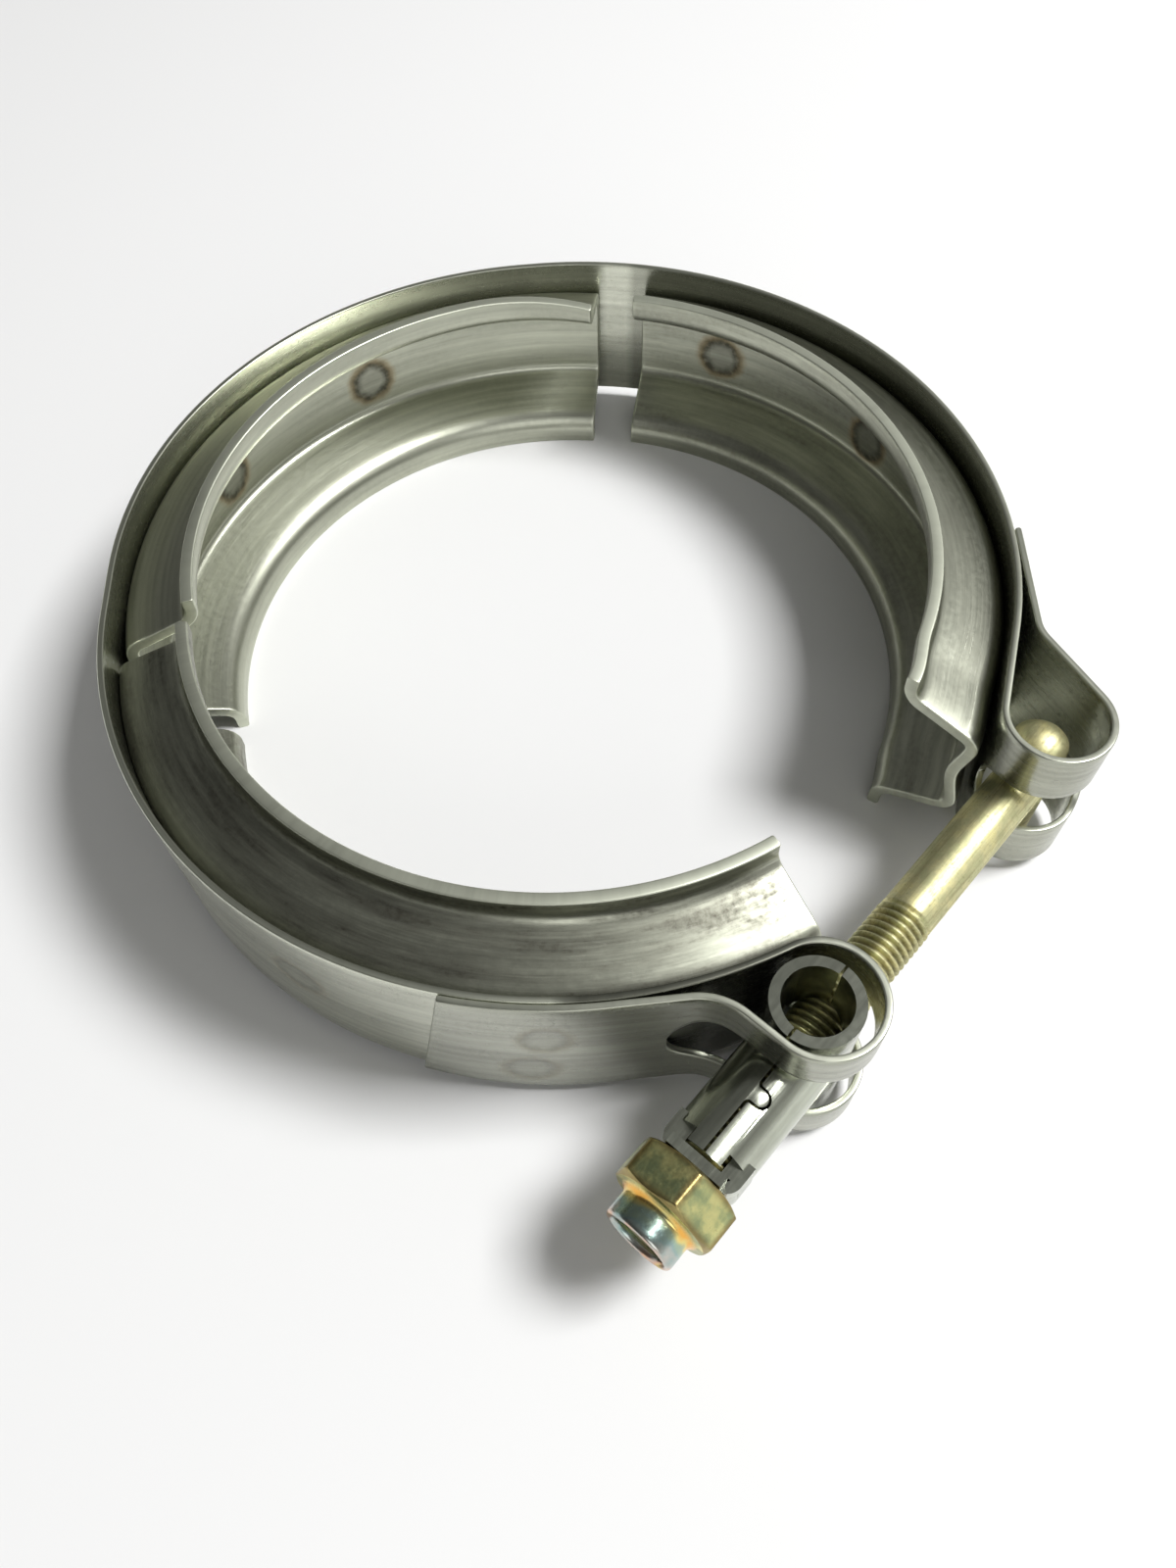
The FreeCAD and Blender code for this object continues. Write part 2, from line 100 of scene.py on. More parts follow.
class ClampRingSizes(bpy.types.PropertyGroup):
    """Plan of the ring and section of the V retainers."""
    groove_radius: length("Groove radius", 52.5, "Flat bottom of the V, from the pipe axis")
    groove_half_height: length("Groove half height", 6.0, "Half the height of that flat")
    leg_slope: angle("Leg slope", 20, "Each leg of the V against the flange plane")
    lip_radius: length("Lip radius", 43.7, "Inner face of the turned-out lips")
    retainer_thick: length("Retainer thickness", 1.5, "Sheet of the retainers")
    groove_bend: length("Groove bend", 1.9, "Bend radius at the middle of the sheet")
    lip_bend: length("Lip bend", 2.4, "Bend radius at the middle of the sheet")
    retainer_span: angle("Retainer span", 110.8, "How far each retainer reaches round the pipe")
    rear_middle: angle("Rear middle", 91.2, "Azimuth of the middle of the rear retainer")
    right_middle: angle("Right middle", -24.9, "Azimuth of the middle of the right retainer")
    left_middle: angle("Left middle", 197.9, "Azimuth of the middle of the left retainer")
    right_opening: length("Right opening", 1.88, "Shift of the right retainer's centre")
    right_opening_way: angle("Right opening way", -42, "Azimuth of that shift")
    left_opening: length("Left opening", 6.25, "Shift of the left retainer's centre")
    left_opening_way: angle("Left opening way", 226.8, "Azimuth of that shift")
    edge_round: length("Edge round", 0.22, "Rounding of the sheared edges")
    weld_radius: length("Weld radius", 3.2, "Electrode mark of a spot weld")
    weld_depth: length("Weld depth", 0.12, "Depth of that mark")


class ClampStrapSizes(bpy.types.PropertyGroup):
    """The strap, its eyes and its slots."""
    thick: length("Thickness", 0.8, "Strip of the strap")
    lap_gap: length("Lap gap", 0.05, "Each tail to the strap under it")
    right_leave: angle("Right leave", -64.4, "Where the strap leaves the ring for the right eye")
    right_neck: length("Right neck", 11.5, "Straight stretch before the right eye")
    right_eye: length("Right eye", 5.9, "Loop radius at the middle of the strip")
    left_leave: angle("Left leave", 248, "Where the strap leaves the ring for the left eye")
    left_eye: length("Left eye", 6.15, "Loop radius at the middle of the strip")
    right_tip: angle("Right tip", -47.8, "End of the right tail")
    right_lift: angle("Right lift", -49.6, "Where the right tail leaves the ring")
    right_tail_way: angle("Right tail way", 249.5, "Direction of its straight run")
    right_tail_bend: length("Right tail bend", 5.0, "Bend between the ring and that run")
    left_tip: angle("Left tip", -149.6, "End of the left tail at its upper edge")
    left_lift: angle("Left lift", -132, "Where the left tail leaves the ring")
    left_tail_way: angle("Left tail way", 270, "Direction of its straight run")
    left_tail_bend: length("Left tail bend", 7.0, "Bend between the ring and that run")
    tip_slant: length("Tip slant", 4.2, "How far the left tail's cut edge slants")
    right_slot_half: length("Right slot", 3.7, "Half the height of the right eye's slot")
    right_slot_first: angle("Right slot first", 171, "Centre of its first round end")
    right_slot_last: angle("Right slot last", 264, "Centre of its last round end")
    left_slot_half: length("Left slot", 5.3, "Half the height of the left eye's slot")
    left_slot_first: angle("Left slot first", -5, "Centre of its first round end")
    left_slot_back: length("Left slot back", 11.1, "From the left lift to its last round end")
    edge_round: length("Edge round", 0.2, "Rounding of the strip's edges")
    # painted shade: how dark the strap's inner face is painted where the retainers shade it
    grease: amount("Grease", 0.5, "How far the inner face is dulled under the retainers")


class ClampBoltSizes(bpy.types.PropertyGroup):
    """The T-bolt and the nut."""
    head_radius: length("Head radius", 3.175, "Radius of the cross head")
    head_dome: length("Head dome", 1.7, "Height of each round end of the head")
    shank_radius: length("Shank radius", 3.05, "Plain part of the bolt")
    shank_length: length("Shank length", 23.4, "Plain part, from the middle of the head")
    thread_radius: length("Thread radius", 3.175, "Crests of the thread")
    thread_pitch: length("Thread pitch", 25.4 / 28, "One turn of the thread")
    run_out: length("Run-out", 1.4, "Where the thread fades into the plain part")
    tip_chamfer: length("Tip chamfer", 0.7, "Bevel at the bolt's tip")
    nut_flats: length("Nut flats", 11.11, "Across the flats of the hexagon")
    nut_hex_length: length("Hexagon length", 4.7, "From the seat to the end of the hexagon")
    nut_length: length("Nut length", 8.1, "From the seat to the end of the collar")
    nut_turn: angle("Nut turn", 12, "One corner, from +Z towards -Y")
    collar_radius: length("Collar radius", 4.02, "Outside of the locking collar")
    collar_wall: length("Collar wall", 0.62, "Wall at the collar's mouth")
    collar_edge: length("Collar edge", 0.45, "Rounding of the collar's mouth")
    seat_gap: length("Seat gap", 0.02, "From the trunnion's seat to the nut's face")
    neck_length: length("Neck length", 0.8, "Taper from the hexagon to the collar")


class ClampTrunnionSizes(bpy.types.PropertyGroup):
    """The trunnion's split and the rounding of its edges."""
    outside: length("Barrel radius", 4.8, "Outside of the split barrel")
    seat_distance: length("Seat distance", 18.6, "Barrel axis to the nut's seat")
    split_width: length("Split width", 0.4, "Width of the split in the solid")
    seam: length("Seam", 0.3, "Width that the split closes to")
    tab_distance: length("Tab distance", 9.2, "Interlocking tab, from the barrel axis")
    tab_radius: length("Tab radius", 0.95, "Bends of that tab")
    edge_round: length("Edge round", 0.12, "Rounding of every edge")


class ClampFinish(bpy.types.PropertyGroup):
    """Colours of the metals."""
    retainer_steel: colour("Retainer steel", (0.51, 0.525, 0.43), "Roll-formed stainless")
    strap_steel: colour("Strap steel", (0.67, 0.685, 0.58), "Cold-rolled stainless")
    trunnion_steel: colour("Trunnion steel", (0.51, 0.535, 0.45), "Pressed stainless")
    bolt_gold: colour("Bolt gold", (0.66, 0.61, 0.36), "Pale yellow plating of the bolt")
    nut_gold: colour("Nut gold", (0.68, 0.67, 0.30), "Yellow plating of the nut")
    stain: colour("Stain", (0.10, 0.095, 0.075), "Handling stains and drawing marks")
    # also the colour of the painted shade on the strap
    burn_and_painted_shade: colour("Burn", (0.055, 0.055, 0.042), "Ring burnt round a spot weld")
    straw: colour("Straw", (0.36, 0.27, 0.14), "Heat tint round that ring")


class ClampStage(bpy.types.PropertyGroup):
    """Floor, light and camera."""
    key_power: amount("Key power", 16.8, "Watts of the key lamp")
    fill_power: amount("Fill power", 1.2, "Watts of the fill lamp")
    floor_grey: amount("Floor grey", 0.80, "How light the floor is")
    lens: amount("Lens", 27.68, "Focal length in millimetres on a 36 mm sensor")


def settings(name):
    """One of the scene's groups of sizes and colours."""
    return getattr(bpy.context.scene, "clamp_" + name)


# --- plan of the ring ----------------------------------------------------------------------

def heading(azimuth):
    """Unit vectors (cos, sin) at one azimuth or at an array of them."""
    return np.stack([np.cos(azimuth), np.sin(azimuth)], axis=-1)


def azimuth_of(vector):
    """Azimuth of a plan vector."""
    return math.atan2(vector[1], vector[0])


def turned(points, azimuth):
    """Plan points turned about the origin by an azimuth."""
    c, s = math.cos(azimuth), math.sin(azimuth)
    return np.asarray(points) @ np.array([[c, s], [-s, c]])


def bend(before, corner, after, radius):
    """The arc (centre, radius, start, end) that rounds a corner between two straight runs."""
    way_in = (corner - before) / np.linalg.norm(corner - before)
    way_out = (after - corner) / np.linalg.norm(after - corner)
    cross = way_in[0] * way_out[1] - way_in[1] * way_out[0]
    turn = math.atan2(cross, way_in @ way_out)
    side = math.copysign(1, turn) * np.array([-way_in[1], way_in[0]])
    centre = corner - way_in * radius * math.tan(abs(turn) / 2) + side * radius
    start = azimuth_of(-side)
    return (centre, radius, start, start + turn)


def carried(arcs, step):
    """Points and right-hand normals along arcs that straight runs join, about a step apart.

    A point of an arc is centre + radius * (cos a, sin a); its right-hand normal points away
    from the centre where the arc turns left, and to the centre where it turns right. On a run
    the points are a straight blend of its two ends.
    """
    points, normals = [], []
    for centre, radius, start, end in arcs:
        count = max(2, math.ceil(abs(end - start) * radius / step) + 1)
        outward = heading(np.linspace(start, end, count))
        here = centre + radius * outward
        normal = outward if end >= start else -outward
        if points:
            gap = np.linalg.norm(here[0] - points[-1][-1])
            share = np.linspace(0, 1, max(2, math.ceil(gap / step) + 1))[1:-1, None]
            points.append(points[-1][-1] * (1 - share) + here[0] * share)
            normals.append(np.repeat(normal[:1], len(share), axis=0))
        points.append(here)
        normals.append(normal)
    points, normals = np.concatenate(points), np.concatenate(normals)
    distance = np.concatenate([[0], np.cumsum(np.linalg.norm(np.diff(points, axis=0), axis=1))])
    keep = np.concatenate([[True], np.diff(distance) > 1e-8])
    return points[keep], normals[keep], distance[keep]


def along(path, distance):
    """Point and normal of a carried path at distances along it."""
    points, normals, known = path
    place = np.stack([np.interp(distance, known, points[:, i]) for i in (0, 1)], axis=-1)
    normal = np.stack([np.interp(distance, known, normals[:, i]) for i in (0, 1)], axis=-1)
    return place, normal / np.linalg.norm(normal, axis=-1, keepdims=True)


def plan():
    """Centres of the ring's three arcs and of the two eyes, before the plan is turned, the
    middle radii of the strap and of its tails, and the turn that lays the bolt along X."""
    ring, strap = settings("ring"), settings("strap")
    radius = ring.groove_radius + ring.retainer_thick + strap.thick / 2
    right = heading(ring.right_opening_way) * ring.right_opening
    left = heading(ring.left_opening_way) * ring.left_opening
    leave = heading(strap.right_leave)
    right_eye = right + leave * (radius + strap.right_eye)
    right_eye = right_eye + np.array([leave[1], -leave[0]]) * strap.right_neck
    left_eye = left + heading(strap.left_leave) * (radius + strap.left_eye)
    turn = -azimuth_of(right_eye - left_eye)
    return {"radius": radius, "tail_radius": radius + strap.thick + strap.lap_gap,
            "rear": np.zeros(2), "right": right, "left": left,
            "right_eye": right_eye, "left_eye": left_eye, "turn": turn}


# --- meshes --------------------------------------------------------------------------------

def eased(distance, radius):
    """Height lost near an edge: none beyond the radius, and a quarter circle inside it."""
    inside = radius - np.clip(distance, 0, radius)
    return radius - np.sqrt(np.maximum(radius * radius - inside * inside, 0))


def smooth(value, low, high):
    """0 below low, 1 above high, and 3t^2 - 2t^3 in between."""
    t = np.clip((value - low) / (high - low), 0, 1)
    return t * t * (3 - 2 * t)


def spread(first, last, edge, count, edge_count=4):
    """Values from first to last, crowded into quarter circles of that edge at both ends."""
    quarter = edge * (1 - np.cos(np.linspace(0, math.pi / 2, edge_count + 1)))
    middle = np.linspace(first + edge, last - edge, count + 1)[1:-1]
    return np.concatenate([first + quarter, middle, (last - quarter)[::-1]])


def quads(index):
    """Faces of a grid of vertex numbers, one for each cell."""
    a, b, c, d = index[:-1, :-1], index[1:, :-1], index[1:, 1:], index[:-1, 1:]
    return np.stack([a, b, c, d], axis=-1).reshape(-1, 4)


def wrapped_faces(rows, sides):
    """Faces of a grid of rings, whose last column joins its first again."""
    number = np.arange(rows * sides).reshape(rows, sides)
    return quads(np.concatenate([number, number[:, :1]], axis=1))


def shell(front, back, closed=(True, True, True, True)):
    """Vertices and faces between two like grids: the front, the back and the walls along the
    four borders: first row, last row, first column, last column. A border's entry in closed is
    True, False, or an array with one True for each cell that gets a wall."""
    rows, columns = front.shape[:2]
    number = np.arange(rows * columns).reshape(rows, columns)
    behind = number + rows * columns
    faces = [quads(number), quads(behind)[:, ::-1]]
    walls = [
        np.stack([behind[0], number[0]]), np.stack([number[-1], behind[-1]]),
        np.stack([number[:, 0], behind[:, 0]]), np.stack([behind[:, -1], number[:, -1]]),
    ]
    for wall, wanted in zip(walls, closed):
        cells = quads(wall)
        faces.append(cells[np.broadcast_to(wanted, len(cells))])
    return np.concatenate([front.reshape(-1, 3), back.reshape(-1, 3)]), np.concatenate(faces)


def add_object(name, data):
    """An object in the scene that holds a mesh, a lamp or a camera."""
    thing = bpy.data.objects.new(name, data)
    bpy.context.scene.collection.objects.link(thing)
    return thing


def add_mask(mesh, title, values):
    """Keeps a value from 0 to 1 at each vertex as an attribute."""
    attribute = mesh.attributes.new(title, "FLOAT", "POINT")
    attribute.data.foreach_set("value", np.asarray(values, dtype=np.float32))


def shade_smooth(mesh):
    """Shades every face of a mesh smooth."""
    mesh.polygons.foreach_set("use_smooth", np.ones(len(mesh.polygons), dtype=bool))


def face_outwards(mesh, merge=None):
    """Turns every face of a closed mesh outwards, after vertices nearer than merge become
    one."""
    work = bmesh.new()
    work.from_mesh(mesh)
    if merge:
        bmesh.ops.remove_doubles(work, verts=work.verts, dist=merge)
    bmesh.ops.recalc_face_normals(work, faces=work.faces)
    work.to_mesh(mesh)
    work.free()


def vertex_places(mesh):
    """Places of a mesh's vertices, one row for each."""
    place = np.empty(len(mesh.vertices) * 3)
    mesh.vertices.foreach_get("co", place)
    return place.reshape(-1, 3)


def add_mesh(name, vertices, faces, surface, merge, **masks):
    """A new object. surface holds two coordinates of each vertex in millimetres, kept as the
    UV map "surface"; each mask is 0 to 1 at each vertex, kept as an attribute of its name.
    Vertices nearer than merge become one."""
    mesh = bpy.data.meshes.new(name)
    mesh.from_pydata(vertices.tolist(), [], faces.tolist())
    corners = np.empty(len(mesh.loops), dtype=np.int32)
    mesh.loops.foreach_get("vertex_index", corners)
    layer = mesh.uv_layers.new(name="surface")
    layer.data.foreach_set("uv", (surface / UV_UNIT)[corners].astype(np.float32).ravel())
    for title, values in masks.items():
        add_mask(mesh, title, values)
    face_outwards(mesh, merge)
    shade_smooth(mesh)
    return add_object(name, mesh)


def finish_piece(piece, body, node, material):
    """Gives a piece its material, hangs it on the body it rides, and hides the node it stands in
    for."""
    piece.data.materials.clear()
    piece.data.materials.append(material)
    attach(piece, body)
    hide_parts(node)


def dent(across, around, welds, radius, depth):
    """Depth of the spot welds at each point: a flat-bottomed dish with a soft wall."""
    total = np.zeros(np.broadcast(across, around).shape)
    for weld_around, weld_across in welds:
        far = np.hypot(around - weld_around, across - weld_across)
        total = total + depth * (1 - smooth(far, 0.62 * radius, radius))
    return total


# --- V retainers ---------------------------------------------------------------------------

def section_path():
    """The retainer's section at the middle of its sheet, as arcs in the (radius, height)
    plane, from the upper lip's edge round the groove to the lower lip's edge."""
    ring = settings("ring")
    half = ring.retainer_thick / 2
    slope = math.tan(ring.leg_slope)
    lip, web = ring.lip_radius + half, ring.groove_radius + half
    web_corner = ring.groove_half_height + half * (1 / math.cos(ring.leg_slope) - slope)
    lip_corner = web_corner + slope * (web - lip)
    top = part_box("retainer_rear")[1].z
    corners = [np.array(p) for p in (
        (lip, top), (lip, lip_corner), (web, web_corner),
        (web, -web_corner), (lip, -lip_corner), (lip, -top),
    )]
    bends = [ring.lip_bend, ring.groove_bend, ring.groove_bend, ring.lip_bend]
    turns = zip(corners, corners[1:], corners[2:], bends)
    arcs = [bend(*three, radius) for *three, radius in turns]
    down = azimuth_of(np.array([-1.0, 0.0]))
    return [(corners[0], 0.0, down, down)] + arcs + [(corners[-1], 0.0, down, down)]


RETAINER_WELDS = {
    # (azimuth in degrees, height in millimetres) of the welds in each groove
    "rear": ((75.3, -1.0), (105.2, -1.0)),
    "right": ((16.7, -0.7), (-12.7, -2.2)),
    "left": ((172.0, -1.0), (222.0, -1.2)),
}

# the left retainer is the most stained
RETAINER_STAINS = {"rear": 0.25, "right": 0.55, "left": 1.0}

# how far the rear retainer's upper lip is bent down and inwards at its right end
LIP_SINK = 1.3 * MM
LIP_DRAW = 0.8 * MM
LIP_SINK_REACH = 20 * MM

# how far the right retainer's end flares at the closure
END_FLARE = 1.1 * MM
END_FLARE_REACH = 9 * MM


def retainer(which):
    """One V retainer: the section (radius, height) turned about the pipe axis, as
    (radius * cos a, radius * sin a, height), with the sheet's half thickness laid off along
    the section's normal. The upper lip of the rear one sinks towards its right end, and the
    right one flares at the closure."""
    ring, place = settings("ring"), plan()
    path = carried(section_path(), 0.25 * MM)
    reach = path[2][-1]
    across = spread(0, reach, ring.edge_round, 74)
    span = ring.retainer_span * ring.groove_radius
    around = spread(0, span, ring.edge_round, 250)
    spot, normal = along(path, across)
    middle = getattr(ring, which + "_middle")
    azimuth = middle + (around / span - 0.5) * ring.retainer_span
    girth, breadth = np.meshgrid(around, across, indexing="ij")
    half = ring.retainer_thick / 2
    half = half - eased(np.minimum(girth, span - girth), ring.edge_round)
    half = half - eased(np.minimum(breadth, reach - breadth), ring.edge_round)
    half = np.maximum(half, 0.3 * ring.retainer_thick)
    radius, height = spot[None, :, 0] + 0 * girth, spot[None, :, 1] + 0 * girth
    if which == "rear":
        upper = smooth(height, ring.groove_half_height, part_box("retainer_rear")[1].z)
        sunk = upper * np.clip(1 - girth / LIP_SINK_REACH, 0, 1) ** 2
        radius, height = radius - LIP_DRAW * sunk, height - LIP_SINK * sunk
    if which == "right":
        flare = 1 - smooth(girth, 0, END_FLARE_REACH)
        radius = radius + END_FLARE * flare * smooth(np.abs(height), 0, ring.groove_half_height)
    welds = [((math.radians(a) - middle + ring.retainer_span / 2) * ring.groove_radius, z * MM)
             for a, z in RETAINER_WELDS[which]]
    groove = radius > ring.groove_radius - ring.retainer_thick
    groove = groove & (np.abs(height) < ring.groove_half_height)
    pit = dent(height, girth, welds, ring.weld_radius, ring.weld_depth) * groove
    sheets = []
    for side, loss in ((1, 0), (-1, pit)):
        r = radius + side * (half - loss) * normal[None, :, 0]
        z = height + side * (half - loss) * normal[None, :, 1]
        plan_points = place[which] + r[..., None] * heading(azimuth)[:, None, :]
        plan_points = turned(plan_points, place["turn"])
        sheets.append(np.concatenate([plan_points, z[..., None]], axis=-1))
    vertices, faces = shell(*sheets)
    surface = np.stack([girth, reach / 2 - breadth], axis=-1).reshape(-1, 2) / MM
    to_edge = np.minimum(np.minimum(girth, span - girth), np.minimum(breadth, reach - breadth))
    worn = (1 - smooth(to_edge, 0.05 * MM, 0.32 * MM)).ravel()
    piece = add_mesh(which + "_retainer", vertices, faces, np.tile(surface, (2, 1)),
                     merge=0.0002 * MM, worn=np.tile(worn, 2))
    marks = [(a / MM, h / MM) for a, h in welds]
    material = steel("retainer_steel_" + which, settings("finish").retainer_steel, marks,
                     grain=0.8, stains=RETAINER_STAINS[which], scratches=0.35,
                     smoothest=0.24, roughest=0.46, seed=azimuth[0], marked=0.85)
    finish_piece(piece, "clamp_band", "retainer_" + which, material)


# --- strap ---------------------------------------------------------------------------------

def tail(centre, radius, tip, lift, way, bend_radius, eye, eye_radius, side):
    """A folded-back tail: an arc on the ring and the bend into its straight run."""
    lift_point = centre + heading(lift) * radius
    lift_way = heading(lift - side * math.pi / 2)
    run_way = heading(way)
    touch = eye + heading(way + side * math.pi / 2) * eye_radius
    gap = touch - lift_point
    reach = (gap[0] * run_way[1] - gap[1] * run_way[0])
    reach = reach / (lift_way[0] * run_way[1] - lift_way[1] * run_way[0])
    corner = lift_point + lift_way * reach
    return [(centre, radius, tip, lift), bend(lift_point, corner, touch, bend_radius)]


def strap_arcs():
    """The strap's middle line, from the right tail's tip round the ring to the left tail's."""
    ring, strap, place = settings("ring"), settings("strap"), plan()
    on_tail = place["tail_radius"]
    right = tail(place["right"], on_tail, strap.right_tip, strap.right_lift,
                 strap.right_tail_way, strap.right_tail_bend, place["right_eye"],
                 strap.right_eye, 1)
    far_tip = strap.left_tip - strap.tip_slant / on_tail
    left = tail(place["left"], on_tail, far_tip, strap.left_lift, strap.left_tail_way,
                strap.left_tail_bend, place["left_eye"], strap.left_eye, -1)
    right_hinge = ring.right_opening_way + math.pi / 2
    left_hinge = ring.left_opening_way - math.pi / 2
    arcs = right + [
        (place["right_eye"], strap.right_eye, strap.right_tail_way + math.pi / 2,
         strap.right_leave + math.pi),
        (place["right"], place["radius"], strap.right_leave, right_hinge),
        (place["rear"], place["radius"], right_hinge, left_hinge),
        (place["left"], place["radius"], left_hinge, strap.left_leave),
        (place["left_eye"], strap.left_eye, strap.left_leave - math.pi,
         strap.left_tail_way - 2.5 * math.pi),
    ]
    return arcs + [(c, r, end, start) for c, r, start, end in reversed(left)]


def distance_at(path, centre, radius, azimuth):
    """Distance along a carried path of its nearest point to a point of a circle."""
    points, _, known = path
    target = centre + heading(azimuth) * radius
    return known[np.argmin(np.linalg.norm(points - target, axis=1))]


def slot_half(distance, first, last, half, first_radius, last_radius):
    """Half the height of a slot at distances along the strap: full between its two end
    centres, sqrt(half^2 - u^2) at a distance u outside them, and 0 beyond. Where an end lies
    on an eye, u is radius * sin(distance / radius); on a straight run its radius is None."""
    before = first_radius * np.sin(np.clip((first - distance) / first_radius, 0, math.pi / 2))
    after = np.maximum(distance - last, 0)
    if last_radius:
        after = last_radius * np.sin(np.clip(after / last_radius, 0, math.pi / 2))
    outside = np.where(distance < first, before, after)
    return np.sqrt(np.maximum(half * half - outside * outside, 0))


def slot_stations(first, last, half, first_radius, last_radius):
    """Distances that crowd towards the two round ends of a slot."""
    reach = half * np.sin(np.linspace(0, math.pi / 2, 22))
    before = first - first_radius * np.arcsin(reach / first_radius)
    after = last + (last_radius * np.arcsin(reach / last_radius) if last_radius else reach)
    return np.concatenate([before, after])


STRAP_WELDS = {
    # (azimuth in degrees about the left retainer's centre, height in millimetres)
    "tail": ((-139.9, 3.0), (-141.3, -5.6)),
    "ring": ((-168.6, 0.4), (-190.0, 0.2)),
}

LAP_START = math.radians(-138)  # where painted shade starts under the left tail, about that centre


def weld_spots(path, centre, radius, welds):
    """Welds of one stretch of the strap, as (distance along it, height) pairs."""
    return [(distance_at(path, centre, radius, math.radians(a)), z * MM) for a, z in welds]


def strap_stations(path):
    """Distances along the strap where its mesh has a row, and half the height of the slot at
    each of them."""
    strap, place = settings("strap"), plan()
    total = path[2][-1]
    right, left = (place["right_eye"], strap.right_eye), (place["left_eye"], strap.left_eye)
    right_ends = sorted(distance_at(path, *right, azimuth)
                        for azimuth in (strap.right_slot_first, strap.right_slot_last))
    left_lift = distance_at(path, place["left"], place["tail_radius"], strap.left_lift)
    left_ends = distance_at(path, *left, strap.left_slot_first), left_lift - strap.left_slot_back
    right_slot = (*right_ends, strap.right_slot_half, strap.right_eye, strap.right_eye)
    left_slot = (*left_ends, strap.left_slot_half, strap.left_eye, None)
    eye_start = distance_at(path, *right, strap.right_leave + math.pi)
    eye_end = distance_at(path, *left, strap.left_leave - math.pi)
    stations = np.unique(np.concatenate([
        spread(0, total, strap.edge_round, 300),
        np.linspace(0.5 * MM, eye_start + 2 * MM, 170),
        np.linspace(eye_end - 2 * MM, total - 12 * MM, 170),
        slot_stations(*right_slot), slot_stations(*left_slot),
    ]).round(9))
    opening = slot_half(stations, *right_slot) + slot_half(stations, *left_slot)
    opening[opening < 0.01 * MM] = 0
    return stations, opening


def greased(path, far):
    """Painted shade on the strap's outer and inner faces, 0 to 1 at distances along it: on both
    where the left tail laps over the ring, and on the inner one wherever the gap between the rear
    and right retainers doesn't bare it to the light."""
    ring, strap, place = settings("ring"), settings("strap"), plan()
    radius = place["radius"]
    lap_from = distance_at(path, place["left"], radius, LAP_START)
    lap_to = distance_at(path, place["left"], radius, strap.left_leave)
    lap = smooth(far, lap_from, lap_from + 2 * MM) * (1 - smooth(far, lap_to, lap_to + 6 * MM))
    gap_middle = (ring.rear_middle + ring.right_middle) / 2
    half_gap = radius * (ring.rear_middle - ring.right_middle - ring.retainer_span) / 2
    off_gap = np.abs(far - distance_at(path, place["rear"], radius, gap_middle))
    covered = smooth(off_gap, half_gap - 0.5 * MM, half_gap + 0.5 * MM)
    return lap, np.maximum(lap, strap.grease * covered)


def add_strap():
    """The strap: a strip with rounded edges laid along its middle line, built as an upper and
    a lower half that meet at mid-height or part round a slot of half height q, so that the
    height of a point is q + t * (half width - q) for t from 0 to 1."""
    ring, strap, place = settings("ring"), settings("strap"), plan()
    path = carried(strap_arcs(), 0.1 * MM)
    total = path[2][-1]
    stations, opening = strap_stations(path)
    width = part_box("strap")[1].z
    share = spread(0, 1, strap.edge_round / width, 9)
    far, rise = np.meshgrid(stations, share, indexing="ij")
    q = opening[:, None]
    height = q + rise * (width - q)
    to_end = np.minimum(far, total - far)
    half = strap.thick / 2 - eased(width - height, strap.edge_round)
    half = half - eased(height - q, strap.edge_round) * np.minimum(1, q / (0.5 * MM))
    half = half - eased(to_end, strap.edge_round)
    half = np.maximum(half, 0.22 * strap.thick)
    tail_welds = weld_spots(path, place["left"], place["tail_radius"], STRAP_WELDS["tail"])
    ring_welds = weld_spots(path, place["left"], place["radius"], STRAP_WELDS["ring"])
    open_cells = (opening[:-1] > 0) | (opening[1:] > 0)
    parts, surfaces, faces, count = [], [], [], 0
    for side in (1, -1):
        # the left tail's cut edge slants: its lower corner reaches further round the ring
        slant = strap.tip_slant * (0.5 + 0.5 * side * height / width)
        moved = far - slant * smooth(far, total - 22 * MM, total)
        middle, normal = along(path, moved)
        grids = []
        for face, welds in ((1, ring_welds), (-1, tail_welds)):
            pit = dent(side * height, far, welds, ring.weld_radius, ring.weld_depth)
            flat = turned(middle + face * (half - pit)[..., None] * normal, place["turn"])
            grids.append(np.concatenate([flat, side * height[..., None]], axis=-1))
        vertices, cells = shell(*grids, closed=(True, True, open_cells, True))
        parts.append(vertices)
        faces.append((cells if side == 1 else cells[:, ::-1]) + count)
        count += len(vertices)
        surface = np.stack([far, side * height], axis=-1).reshape(-1, 2) / MM
        surfaces += [surface, surface]
    rim = np.minimum(width - height, np.where(q > 0, height - q, width))
    worn = (1 - smooth(np.minimum(rim, to_end), 0, 0.35 * MM)).ravel()
    # the mask of painted shade darkens the strap where the retainers and the left tail shade it
    piece = add_mesh("looped_strap", np.concatenate(parts), np.concatenate(faces),
                     np.concatenate(surfaces), merge=0.001 * MM, worn=np.tile(worn, 4),
                     grease=np.tile(np.ravel(greased(path, far)), 2))
    marks = [(d / MM, z / MM) for d, z in tail_welds + ring_welds]
    material = steel("strap_steel", settings("finish").strap_steel, marks, grain=0.45,
                     stains=0.3, scratches=0.1, smoothest=0.18, roughest=0.34, seed=3.0,
                     marked=0.3)
    finish_piece(piece, "clamp_band", "strap", material)


# --- T-bolt --------------------------------------------------------------------------------

BOLT_SIDES = 72
ROWS_PER_TURN = 12  # rows of the shank's mesh in one turn of the thread
THREAD_DEPTH = 0.6134  # of the pitch, for a 60 degree thread
THREAD_FLAT = 0.13  # of half the pitch, at the crest and again at the root


